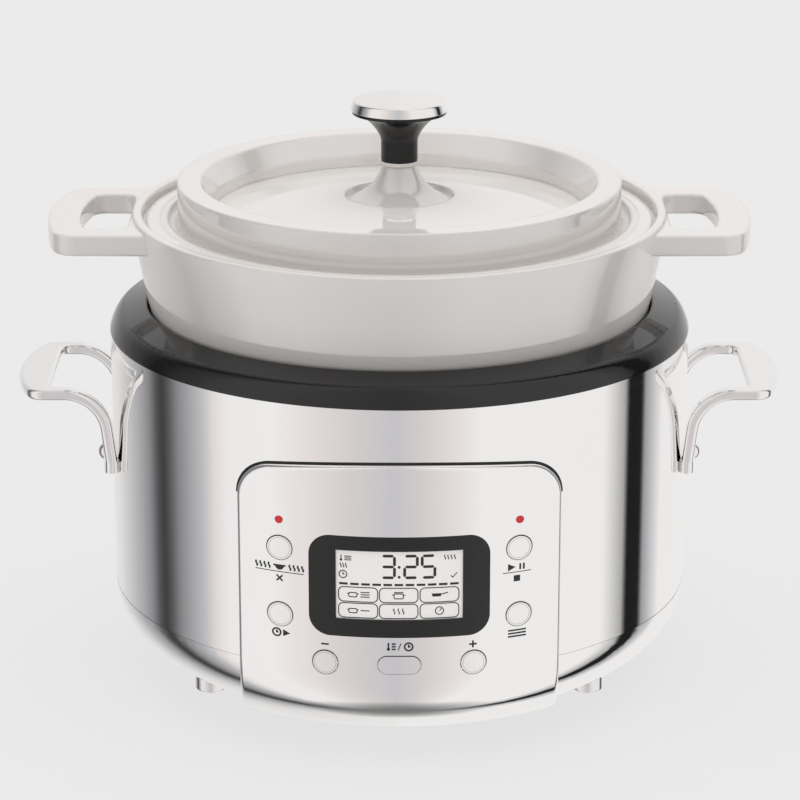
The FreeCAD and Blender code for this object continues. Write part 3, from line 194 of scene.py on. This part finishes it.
def add_world():
    """Even light for surfaces, a pale backdrop for the camera, boards and floor for reflections."""
    world = bpy.data.worlds.new("studio")
    bpy.context.scene.world = world
    world.use_nodes = True
    tree = world.node_tree
    tree.nodes.clear()
    link = tree.links.new

    def add(kind):
        return tree.nodes.new("ShaderNode" + kind)

    place = add("TexCoord")
    split = add("SeparateXYZ")
    link(place.outputs["Generated"], split.inputs[0])
    behind = add("Math")
    behind.operation = "MULTIPLY"
    behind.inputs[1].default_value = -1
    link(split.outputs["Y"], behind.inputs[0])
    compass = add("Math")
    compass.operation = "ARCTAN2"
    link(split.outputs["X"], compass.inputs[0])
    link(behind.outputs[0], compass.inputs[1])
    turn = add("MapRange")
    turn.inputs["From Min"].default_value = -math.pi
    turn.inputs["From Max"].default_value = math.pi
    link(compass.outputs[0], turn.inputs["Value"])
    ramp = add("ValToRGB")
    stops = ramp.color_ramp.elements
    while len(stops) < len(boards):
        stops.new(1.0)
    for stop, (angle, level, tint) in zip(stops, boards):
        stop.position = (angle + 180) / 360
        shade = level * mirror_white / board_white
        stop.color = [min(shade * part, mirror_white) for part in tint] + [1]
    link(turn.outputs["Result"], ramp.inputs["Fac"])
    steep = add("MapRange")
    steep.inputs["From Min"].default_value = floor_steep
    steep.inputs["From Max"].default_value = floor_shallow
    link(split.outputs["Z"], steep.inputs["Value"])
    ground = add("Mix")
    ground.data_type = "RGBA"
    ground.inputs["A"].default_value = (floor_mirror, floor_mirror, floor_mirror, 1)
    link(steep.outputs["Result"], ground.inputs["Factor"])
    link(ramp.outputs["Color"], ground.inputs["B"])

    light = add("Background")
    light.inputs["Strength"].default_value = fill_light
    light.inputs["Color"].default_value = (1, 1, 1, 1)
    wall = add("Background")
    wall.inputs["Color"].default_value = (backdrop, backdrop, backdrop, 1)
    mirror = add("Background")
    link(ground.outputs["Result"], mirror.inputs["Color"])
    path = add("LightPath")
    seen = add("Math")
    seen.operation = "MAXIMUM"
    link(path.outputs["Is Camera Ray"], seen.inputs[0])
    link(path.outputs["Is Transmission Ray"], seen.inputs[1])
    first = add("MixShader")
    link(seen.outputs[0], first.inputs["Fac"])
    link(light.outputs[0], first.inputs[1])
    link(wall.outputs[0], first.inputs[2])
    second = add("MixShader")
    link(path.outputs["Is Glossy Ray"], second.inputs["Fac"])
    link(first.outputs[0], second.inputs[1])
    link(mirror.outputs[0], second.inputs[2])
    output = add("OutputWorld")
    link(second.outputs[0], output.inputs["Surface"])


def add_lamp():
    data = bpy.data.lights.new("overhead", "SUN")
    data.energy = lamp_strength
    data.angle = lamp_width
    lamp = bpy.data.objects.new("overhead", data)
    lamp.visible_glossy = False
    bpy.context.scene.collection.objects.link(lamp)


def add_floor():
    mesh = bmesh.new()
    corners = [(-1, -1), (1, -1), (1, 1), (-1, 1)]
    mesh.faces.new([mesh.verts.new((x * floor_half, y * floor_half, 0)) for x, y in corners])
    look = Look("floor_paper")
    grain = look.noise(40, 4)
    look.colour(grain, [c * 0.99 for c in floor_colour], [c * 1.01 for c in floor_colour])
    look.shader.inputs["Roughness"].default_value = 0.9
    look.shader.inputs["Specular IOR Level"].default_value = 0.0
    glow = look.add("Emission")
    glow.inputs["Color"].default_value = (backdrop, backdrop, backdrop, 1)
    seen = look.add("Math")
    seen.operation = "MULTIPLY"
    seen.inputs[1].default_value = floor_glow
    look.link(look.add("LightPath").outputs["Is Camera Ray"], seen.inputs[0])
    mix = look.add("MixShader")
    look.link(seen.outputs[0], mix.inputs["Fac"])
    look.link(look.shader.outputs[0], mix.inputs[1])
    look.link(glow.outputs[0], mix.inputs[2])
    look.link(mix.outputs[0], look.tree.nodes["Material Output"].inputs["Surface"])
    floor = piece_from(mesh, "floor", look.material)
    floor.visible_glossy = False


class Look:
    """A procedural material on the principled shader, with helpers for its colour, roughness and bump."""

    def __init__(self, name):
        self.material = bpy.data.materials.new(name)
        self.material.use_nodes = True
        self.tree = self.material.node_tree
        self.shader = self.tree.nodes["Principled BSDF"]
        self.coordinates = self.tree.nodes.new("ShaderNodeTexCoord")

    def add(self, kind):
        return self.tree.nodes.new("ShaderNode" + kind)

    def link(self, start, end):
        self.tree.links.new(start, end)

    def set(self, **values):
        for name, value in values.items():
            self.shader.inputs[name.replace("_", " ")].default_value = value

    def stretched(self, stretch):
        mapping = self.add("Mapping")
        mapping.inputs["Scale"].default_value = stretch
        self.link(self.coordinates.outputs["Object"], mapping.inputs["Vector"])
        return mapping.outputs["Vector"]

    def noise(self, scale, detail, stretch=(1, 1, 1)):
        node = self.add("TexNoise")
        node.inputs["Scale"].default_value = scale
        node.inputs["Detail"].default_value = detail
        self.link(self.stretched(stretch), node.inputs["Vector"])
        return node.outputs["Fac"]

    def rings(self, scale, distortion=0.0):
        node = self.add("TexWave")
        node.wave_type = "RINGS"
        node.rings_direction = "Z"
        node.inputs["Scale"].default_value = scale
        node.inputs["Distortion"].default_value = distortion
        self.link(self.coordinates.outputs["Object"], node.inputs["Vector"])
        return node.outputs["Fac"]

    def cells(self, scale, stretch=(1, 1, 1)):
        node = self.add("TexVoronoi")
        node.inputs["Scale"].default_value = scale
        self.link(self.stretched(stretch), node.inputs["Vector"])
        return node.outputs["Distance"]

    def colour(self, factor, low, high, start=0.3, end=0.7):
        ramp = self.add("ValToRGB")
        first, last = ramp.color_ramp.elements
        first.position = start
        last.position = end
        first.color = (*low, 1)
        last.color = (*high, 1)
        self.link(factor, ramp.inputs["Fac"])
        self.link(ramp.outputs["Color"], self.shader.inputs["Base Color"])

    def roughness(self, factor, low, high, start=0.3, end=0.7):
        span = self.add("MapRange")
        span.inputs["From Min"].default_value = start
        span.inputs["From Max"].default_value = end
        span.inputs["To Min"].default_value = low
        span.inputs["To Max"].default_value = high
        self.link(factor, span.inputs["Value"])
        self.link(span.outputs["Result"], self.shader.inputs["Roughness"])

    def sheen(self, facing, grazing):
        """Reflection strength where the surface faces the viewer and where it is seen edge on."""
        tilt = self.add("LayerWeight")
        tilt.inputs["Blend"].default_value = 0.5
        span = self.add("MapRange")
        span.inputs["From Min"].default_value = 0.2
        span.inputs["From Max"].default_value = 0.7
        span.inputs["To Min"].default_value = facing
        span.inputs["To Max"].default_value = grazing
        self.link(tilt.outputs["Facing"], span.inputs["Value"])
        self.link(span.outputs["Result"], self.shader.inputs["Specular IOR Level"])

    def bump(self, factor, depth, edge=0.0):
        """Fine relief, on edges that look rounded by the given radius."""
        node = self.add("Bump")
        node.inputs["Distance"].default_value = depth
        self.link(factor, node.inputs["Height"])
        if edge:
            soft = self.add("Bevel")
            soft.samples = 8
            soft.inputs["Radius"].default_value = edge
            self.link(soft.outputs["Normal"], node.inputs["Normal"])
        self.link(node.outputs["Normal"], self.shader.inputs["Normal"])


def polished_steel(name, tint, low, high, grain):
    """Mirror steel with faint polishing lines around it and hazy patches."""
    look = Look(name)
    look.set(Metallic=1.0)
    haze = look.noise(9, 3)
    look.colour(haze, [c * 0.99 for c in tint], tint)
    lines = look.noise(1, 2, grain)
    look.roughness(lines, low, high)
    look.bump(lines, 0.000002)
    return look.material


def cast_metal(name, tint, low, high, ripple):
    """Plated casting: a soft sheen and a slow ripple left from hand polishing."""
    look = Look(name)
    look.set(Metallic=1.0)
    wear = look.noise(60, 4)
    look.colour(wear, [c * 0.97 for c in tint], tint)
    look.roughness(wear, low, high)
    look.bump(look.noise(45, 1), ripple)
    return look.material


def enamel(name, pale, warm):
    """Fired enamel: faint clouding, a soft orange-peel surface and a wet gloss."""
    look = Look(name)
    look.set(IOR=2.5)
    look.colour(look.noise(14, 3), warm, pale)
    look.roughness(look.noise(30, 2), 0.015, 0.035)
    look.bump(look.noise(170, 2), 0.000003, enamel_edge)
    return look.material


def gloss_black(name, level, low, high, facing, grazing):
    """Dark lacquer or phenolic with fine polish marks and a trace of dust."""
    look = Look(name)
    look.sheen(facing, grazing)
    dust = look.noise(500, 4)
    look.colour(dust, [level] * 3, [level * 1.25] * 3, 0.45, 0.75)
    look.roughness(look.noise(70, 4), low, high)
    look.bump(look.noise(260, 2), 0.000008)
    return look.material


def moulded(name, dark, pale, low, high, grain, depth):
    """Moulded plastic or rubber with a fine pebbled grain."""
    look = Look(name)
    look.colour(look.noise(grain / 4, 4), dark, pale)
    pebble = look.noise(grain, 3)
    look.roughness(pebble, low, high)
    look.bump(pebble, depth)
    return look.material


def turned_metal(name, tint, low, high, pitch):
    """Machined metal with circular tool marks about the upright axis."""
    look = Look(name)
    look.set(Metallic=1.0)
    look.colour(look.noise(25, 4), [c * 0.9 for c in tint], tint)
    marks = look.rings(pitch, 0.6)
    look.roughness(marks, low, high, 0.0, 1.0)
    look.bump(marks, 0.00001)
    return look.material


def brushed_metal(name, tint, low, high, grain):
    """Sheet metal or plated hardware with fine drawn scratches."""
    look = Look(name)
    look.set(Metallic=1.0)
    look.colour(look.noise(40, 4), [c * 0.88 for c in tint], tint)
    scratches = look.noise(1, 4, grain)
    look.roughness(scratches, low, high)
    look.bump(scratches, 0.000008)
    return look.material


def circuit_board(name):
    """Green solder mask with copper tracks showing through as a lighter lattice."""
    look = Look(name)
    tracks = look.cells(220)
    look.colour(tracks, (0.02, 0.16, 0.05), (0.008, 0.07, 0.025), 0.12, 0.2)
    look.roughness(look.noise(300, 3), 0.25, 0.4)
    look.bump(tracks, 0.00003)
    return look.material


def wrapped_tape(name):
    """Yellow winding tape in overlapping turns."""
    look = Look(name)
    turns = look.noise(1, 2, (10, 10, 260))
    look.colour(turns, (0.55, 0.36, 0.03), (0.75, 0.52, 0.06))
    look.roughness(turns, 0.25, 0.45)
    look.bump(turns, 0.0001)
    return look.material


def display_glass(name):
    """Reflective liquid-crystal panel: warm pale grey with a barely visible cell pattern, lightened by a
    painted glow.
    """
    look = Look(name)
    # The emission is a painted glow: the reflective panel gives no light of its own
    look.set(IOR=1.4, Emission_Strength=0.25)
    look.shader.inputs["Emission Color"].default_value = (0.80, 0.775, 0.755, 1)
    cells = look.noise(900, 1)
    look.colour(cells, (0.80, 0.775, 0.755), (0.82, 0.795, 0.775))
    look.roughness(look.noise(60, 2), 0.22, 0.32)
    return look.material


def lamp_lens(name):
    """Red diffusing lens with a slightly uneven tone."""
    look = Look(name)
    look.set(IOR=1.49, Emission_Strength=0.25)
    look.shader.inputs["Emission Color"].default_value = (0.60, 0.03, 0.03, 1)
    look.colour(look.noise(700, 2), (0.49, 0.012, 0.014), (0.59, 0.018, 0.02))
    look.roughness(look.noise(200, 2), 0.15, 0.3)
    return look.material


def printed_ink(name, level):
    """Screen-printed ink with a slight unevenness."""
    look = Look(name)
    look.colour(look.noise(1500, 3), [level * 0.8] * 3, [level * 1.2] * 3)
    look.roughness(look.noise(900, 2), 0.45, 0.6)
    return look.material


def dress_nodes():
    """Gives every CAD node the material of its slot."""
    around = (6, 6, 1400)
    looks = {
        "shell_steel": polished_steel("shell_steel_look", (0.965, 0.962, 0.955), 0.035, 0.075, around),
        "panel_steel": polished_steel("panel_steel_look", (0.965, 0.962, 0.955), 0.03, 0.06, around),
        "handle_steel": cast_metal("handle_steel_look", (0.95, 0.945, 0.935), 0.06, 0.12, 0.00002),
        "button_metal": polished_steel("button_metal_look", (0.955, 0.95, 0.945), 0.05, 0.1, [300] * 3),
        "foot_metal": cast_metal("foot_metal_look", (0.9, 0.895, 0.885), 0.08, 0.16, 0.00001),
        "knob_metal": cast_metal("knob_metal_look", (0.95, 0.945, 0.935), 0.05, 0.1, 0.000006),
        "knob_black": gloss_black("knob_black_look", 0.008, 0.1, 0.2, 0.4, 0.4),
        "ring_black": gloss_black("ring_black_look", 0.010, 0.03, 0.06, 0.5, 0.5),
        "bezel_black": gloss_black("bezel_black_look", 0.014, 0.15, 0.22, 0.4, 0.3),
        "lcd": display_glass("lcd_look"),
        "red_lens": lamp_lens("red_lens_look"),
        "enamel": enamel("enamel_look", (0.79, 0.759, 0.734), (0.775, 0.742, 0.716)),
        "liner_aluminium": brushed_metal("liner_aluminium_look", [0.82] * 3, 0.25, 0.4, (5, 5, 700)),
        "plate_aluminium": turned_metal("plate_aluminium_look", (0.80, 0.80, 0.79), 0.25, 0.4, 300),
        "inner_steel": brushed_metal("inner_steel_look", (0.62, 0.62, 0.61), 0.3, 0.45, (400, 30, 400)),
        "screw_steel": brushed_metal("screw_steel_look", (0.72, 0.71, 0.70), 0.2, 0.35, (600, 600, 100)),
        "board_green": circuit_board("board_green_look"),
        "black_plastic": moulded("black_plastic_look", [0.012] * 3, [0.02] * 3, 0.4, 0.55, 1200, 0.00003),
        "transformer_tape": wrapped_tape("transformer_tape_look"),
        "wire_insulation": moulded("wire_insulation_look", [0.3] * 3, [0.36] * 3, 0.35, 0.5, 900, 0.00001),
        "pin_brass": brushed_metal("pin_brass_look", (0.80, 0.62, 0.32), 0.2, 0.3, (100, 900, 900)),
        "pad_rubber": moulded("pad_rubber_look", [0.015] * 3, [0.025] * 3, 0.7, 0.85, 700, 0.00006),
    }
    for node in nodes.values():
        for place in node.material_slots:
            place.material = looks[place.material.name]
    return looks


def piece_from(mesh, name, material):
    data = bpy.data.meshes.new(name)
    mesh.to_mesh(data)
    mesh.free()
    data.materials.append(material)
    piece = bpy.data.objects.new(name, data)
    bpy.context.scene.collection.objects.link(piece)
    return piece


class Marks:
    """Thin closed shapes wrapped round the upright curved front. Places are millimetres across and up."""

    def __init__(self, radius, line, rise=mark_rise):
        self.mesh = bmesh.new()
        self.radius = radius
        self.line = line
        self.rise = rise

    def corner(self, x, z, rise):
        y = math.sqrt((self.radius + rise) ** 2 - x ** 2)
        return self.mesh.verts.new((x * mm, -y * mm, z * mm))

    def pair(self, x, z):
        return self.corner(x, z, self.rise), self.corner(x, z, -mark_sink)

    def fill(self, points):
        """A closed prism over a convex outline."""
        pairs = [self.pair(x, z) for x, z in points]
        self.mesh.faces.new([pair[0] for pair in pairs])
        self.mesh.faces.new([pair[1] for pair in reversed(pairs)])
        for here, ahead in zip(pairs, pairs[1:] + pairs[:1]):
            self.mesh.faces.new([here[0], here[1], ahead[1], ahead[0]])

    def stroke(self, points, width=None, closed=False):
        """A ribbon along a line, mitred at its bends."""
        half = (width or self.line) / 2
        points = stepped(points, closed)
        count = len(points)
        rows = []
        for i, (x, z) in enumerate(points):
            before = points[i - 1] if closed or i > 0 else None
            after = points[(i + 1) % count] if closed or i < count - 1 else None
            across, stretch = mitre(before, (x, z), after)
            reach = across * half * stretch
            rows.append((self.pair(x + reach.x, z + reach.y), self.pair(x - reach.x, z - reach.y)))
        ends = rows[1:] + rows[:1] if closed else rows[1:]
        for (left, right), (left_on, right_on) in zip(rows, ends):
            self.mesh.faces.new([left[0], right[0], right_on[0], left_on[0]])
            self.mesh.faces.new([left[1], left_on[1], right_on[1], right[1]])
            self.mesh.faces.new([left[0], left_on[0], left_on[1], left[1]])
            self.mesh.faces.new([right[0], right[1], right_on[1], right_on[0]])
        if not closed:
            for left, right in (rows[0], rows[-1]):
                self.mesh.faces.new([left[0], left[1], right[1], right[0]])

    def finish(self, name, material, body="base"):
        bmesh.ops.recalc_face_normals(self.mesh, faces=self.mesh.faces)
        piece = piece_from(self.mesh, name, material)
        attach(piece, body)
        return piece


def stepped(points, closed):
    """The line's points with more between them, so that it follows the curve."""
    ends = points[1:] + points[:1] if closed else points[1:]
    line = []
    for (x, z), (x_on, z_on) in zip(points, ends):
        steps = math.ceil(math.hypot(x_on - x, z_on - z) / mark_step)
        for i in range(steps):
            share = i / steps
            line.append((x + (x_on - x) * share, z + (z_on - z) * share))
    return line if closed else line + [points[-1]]


def mitre(before, here, after):
    """Direction across a line at a point, and how much wider the joint is there."""
    here = Vector(here)
    ways = []
    if before:
        ways.append((here - Vector(before)).normalized())
    if after:
        ways.append((Vector(after) - here).normalized())
    along = sum(ways, Vector((0, 0))).normalized()
    across = Vector((-along.y, along.x))
    return across, 1 / max(along.dot(ways[0]), 0.5)


def arc(x, z, radius, start, end, steps=24):
    angles = [math.radians(start + (end - start) * i / steps) for i in range(steps + 1)]
    return [(x + radius * math.cos(a), z + radius * math.sin(a)) for a in angles]


def circle(x, z, radius, steps=28):
    return arc(x, z, radius, 0, 360, steps)[:-1]


def box_outline(low_x, low_z, high_x, high_z, corner):
    return (
        arc(high_x - corner, high_z - corner, corner, 0, 90, 8)
        + arc(low_x + corner, high_z - corner, corner, 90, 180, 8)
        + arc(low_x + corner, low_z + corner, corner, 180, 270, 8)
        + arc(high_x - corner, low_z + corner, corner, 270, 360, 8)
    )


def draw_bowl(marks, x, z, size):
    marks.fill(arc(x, z, size, 180, 360, 16))
    marks.stroke([(x - size * 1.35, z), (x + size * 1.35, z)])


def draw_wave(marks, x, z, height):
    points = []
    for i in range(13):
        share = i / 12
        points.append((x + 0.12 * height * math.sin(share * 2 * math.pi), z + height * (share - 0.5)))
    marks.stroke(points)


def draw_clock(marks, x, z, radius):
    marks.stroke(circle(x, z, radius), closed=True)
    marks.stroke([(x, z + radius * 0.6), (x, z), (x + radius * 0.45, z)])


def draw_cross(marks, x, z, size):
    for side in (-1, 1):
        marks.stroke([(x - size, z - side * size), (x + size, z + side * size)])


def draw_thermometer(marks, x, z, height):
    bulb = height * 0.2
    marks.fill(circle(x, z - height / 2 + bulb, bulb))
    marks.stroke([(x, z - height / 2 + bulb), (x, z + height / 2)])


def draw_bars(marks, x, z, width, gap, count):
    for i in range(count):
        level = z + gap * (i - (count - 1) / 2)
        marks.stroke([(x - width / 2, level), (x + width / 2, level)])


def draw_block(marks, x, z, half_width, half_height):
    marks.fill([
        (x - half_width, z - half_height), (x + half_width, z - half_height),
        (x + half_width, z + half_height), (x - half_width, z + half_height),
    ])


def draw_arrow(marks, x, z, size):
    marks.fill([(x - size, z + size), (x - size, z - size), (x + size, z)])


def draw_pot(marks, x, z, size):
    marks.stroke(box_outline(x - size, z - size * 0.8, x + size, z + size * 0.3, size * 0.3), closed=True)
    marks.stroke([(x - size * 1.4, z + size * 0.05), (x - size, z + size * 0.05)])
    marks.stroke([(x + size, z + size * 0.05), (x + size * 1.4, z + size * 0.05)])


def draw_pan(marks, x, z, size):
    marks.fill([
        (x - size, z + size * 0.3), (x - size * 0.8, z - size * 0.35),
        (x + size * 0.8, z - size * 0.35), (x + size, z + size * 0.3),
    ])
    marks.stroke([(x + size, z + size * 0.1), (x + size * 2.2, z + size * 0.45)])


def draw_dial(marks, x, z, radius):
    marks.stroke(circle(x, z, radius), closed=True)
    marks.stroke([(x, z), (x + radius * 0.55, z + radius * 0.55)])


def shade_and_trim_buttons(edge, line):
    """Painted shadow ring of darker steel round every button hole, and a fine line on the round buttons
    that moves with them.
    """
    # Darker steel ring round each hole, painted as the shadow in the gap round the button
    hole_shadows = Marks(panel_radius, hole_shadow_line)
    low, high = corners_of("button_temp_time")
    start = [low[i] + button_flange for i in (0, 2)]
    end = [high[i] - button_flange for i in (0, 2)]
    hole_shadows.stroke(box_outline(*start, *end, oblong_round), closed=True)
    for body in round_buttons:
        low, high = corners_of(body)
        radius = (high[2] - low[2]) / 2 - button_flange
        hole_shadows.stroke(circle(*middle_of(body), radius + hole_shadow_line / 2), closed=True)
        trim = Marks(button_face, trim_line)
        trim.stroke(circle(*middle_of(body), radius - trim_inset), closed=True)
        trim.finish(body + "_trim", line, body)
    hole_shadows.finish("button_hole_shadows", edge)


def paint_panel_shadow(material):
    """Dark strip in the rubber material on the shell along the panel's corners and crown, painted as the
    shadow and dark reflection at the panel's edge.
    """
    middle = shadow_strip_width / 2
    corner_x = panel_half_width - panel_corner
    crown_low = panel_top - panel_crown
    corner_z = crown_low + math.sqrt((panel_crown - panel_corner) ** 2 - corner_x ** 2)
    join = math.degrees(math.atan2(corner_z - crown_low, corner_x))
    line = (
        arc(corner_x, corner_z, panel_corner + middle, 0, join)
        + arc(0, crown_low, panel_crown + middle, join, 180 - join)[1:-1]
        + arc(-corner_x, corner_z, panel_corner + middle, 180 - join, 180)
    )
    # Painted shadow and dark reflection along the panel's edge
    shadow_strip = Marks(shell_radius, shadow_strip_width, shadow_strip_rise)
    shadow_strip.stroke(line)
    shadow_strip.finish("panel_shadow_strip", material)


def draw_digit(marks, character, left):
    """A seven-segment numeral with pointed bars."""
    low = digit_low
    right = left + digit_width
    middle = low + digit_height / 2
    top = low + digit_height
    bars = {
        "a": ((left, top), (right, top)), "b": ((right, top), (right, middle)),
        "c": ((right, middle), (right, low)), "d": ((left, low), (right, low)),
        "e": ((left, middle), (left, low)), "f": ((left, top), (left, middle)),
        "g": ((left, middle), (right, middle)),
    }
    for name in segments[character]:
        start, end = (Vector(point) for point in bars[name])
        along = (end - start).normalized()
        across = Vector((-along.y, along.x)) * digit_line / 2
        start += along * digit_line * segment_gap
        end -= along * digit_line * segment_gap
        inset = along * digit_line / 2
        marks.fill([tuple(point) for point in (
            start, start + inset - across, end - inset - across, end, end - inset + across,
            start + inset + across,
        )])


def sign_place(button):
    """Middle of a button's sign, in millimetres across and up."""
    x, z = middle_of(button)
    across, up = sign_places[button]
    return x + across, z + up


def draw_divider(marks, x, z, half):
    marks.stroke([(x - half, z), (x + half, z)], divider_line)


def draw_warm_sign(marks, x, z):
    """A bowl between rising waves, over a cross."""
    draw_bowl(marks, x, z + 0.6, 2.3)
    for side in (-1, 1):
        for step in range(4):
            draw_wave(marks, x + side * (5.2 + 2.1 * step), z, 3.0)
    draw_divider(marks, x, z - divider_drop, 12)
    draw_cross(marks, x, z - second_drop, 1.5)


def draw_start_sign(marks, x, z):
    """A triangle and two bars, over a square."""
    draw_arrow(marks, x - 2.6, z, 1.9)
    for step in (0, 1):
        draw_block(marks, x + 1.6 + 1.8 * step, z, 0.45, 1.6)
    draw_divider(marks, x, z - divider_drop, 7)
    draw_block(marks, x, z - second_drop, 1.6, 1.6)


def draw_preset_sign(marks, x, z):
    """A clock and a triangle."""
    draw_clock(marks, x, z, 2.0)
    draw_arrow(marks, x + 5.0, z, 1.8)


def draw_time_sign(marks, x, z):
    """A thermometer with its scale, a stroke and a clock."""
    draw_thermometer(marks, x, z, 4.2)
    draw_bars(marks, x + 2.6, z + 0.1, 2.0, 1.4, 3)
    marks.stroke([(x + 4.8, z - 1.8), (x + 6.2, z + 1.8)], 0.5)
    draw_clock(marks, x + 10.0, z, 2.0)


def draw_minus(marks, x, z):
    draw_block(marks, x, z, 1.9, 0.45)


def draw_plus(marks, x, z):
    draw_minus(marks, x, z)
    for side in (-1, 1):
        draw_block(marks, x, z + side * 1.15, 0.45, 0.7)


def print_panel_marks(material):
    """Plain signs beside the buttons."""
    marks = Marks(panel_radius, print_line)
    draw_warm_sign(marks, *sign_place("button_keep_warm"))
    draw_start_sign(marks, *sign_place("button_start"))
    draw_preset_sign(marks, *sign_place("button_preset"))
    draw_bars(marks, *sign_place("button_menu"), 9.0, 1.6, 3)
    draw_time_sign(marks, *sign_place("button_temp_time"))
    draw_minus(marks, *sign_place("button_minus"))
    draw_plus(marks, *sign_place("button_plus"))
    marks.finish("panel_marks", material)


def print_display_marks(material):
    """What the display shows: time, small signs, a row of dashes and six boxed signs."""
    marks = Marks(glass_radius, glass_line)
    for character, left in zip(shown_time, digit_lefts):
        draw_digit(marks, character, left)
    for level in colon_levels:
        marks.fill(circle(colon_x, level, colon_dot, 8))
    draw_small_signs(marks)
    for i in range(dash_count):
        start = dash_start + dash_pitch * i
        marks.stroke([(start, dash_level), (start + dash_length, dash_level)], dash_line)
    draw_boxes(marks)
    marks.finish("display_marks", material)


def draw_small_signs(marks):
    """Thermometer, steam and clock on the left, warmth and a tick on the right."""
    x, z = heat_place
    draw_thermometer(marks, x, z, 3.2)
    draw_bars(marks, x + heat_bars_gap, z, 3.4, 0.95, 3)
    x, z = steam_place
    for step in range(3):
        draw_wave(marks, x + 1.3 * step, z, wave_height)
    draw_clock(marks, *clock_place, 1.9)
    x, z = warm_place
    for step in range(4):
        draw_wave(marks, x + 1.6 * step, z, wave_height)
    marks.stroke(tick_points, tick_line)


def draw_boxes(marks):
    """Six framed signs: pots with much and little heat, a lidded pot, a pan, waves and a dial."""
    for low_x, high_x in box_columns:
        for low_z, high_z in box_rows:
            marks.stroke(box_outline(low_x, low_z, high_x, high_z, box_corner), closed=True)
    first, second, third = [(low + high) / 2 for low, high in box_columns]
    upper, lower = [(low + high) / 2 for low, high in box_rows]
    for level, bars in ((upper, 3), (lower, 1)):
        draw_pot(marks, first - 2.6, level + 0.3, 2.0)
        draw_bars(marks, first + 3.4, level, 4.4, 1.2, bars)
    draw_pot(marks, second, upper + 0.1, 2.3)
    marks.stroke([(second - 2.3, upper + 1.5), (second + 2.3, upper + 1.5)])
    draw_pan(marks, third - 1.4, upper, 2.5)
    for step in (-1, 0, 1):
        draw_wave(marks, second + 2.2 * step, lower, 3.0)
    draw_dial(marks, third, lower, 2.0)


bpy.context.scene.view_settings.view_transform = "Standard"
add_camera()
add_world()
add_lamp()
add_floor()
looks = dress_nodes()
# Painted shadow strip along the panel's edge, in the dark rubber material
paint_panel_shadow(looks["pad_rubber"])
# Darker steel rings round the button holes are painted shadow
shade_and_trim_buttons(looks["inner_steel"], looks["screw_steel"])
ink = printed_ink("print_ink", 0.02)
print_panel_marks(ink)
print_display_marks(ink)
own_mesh(nodes["sensor_spring"])
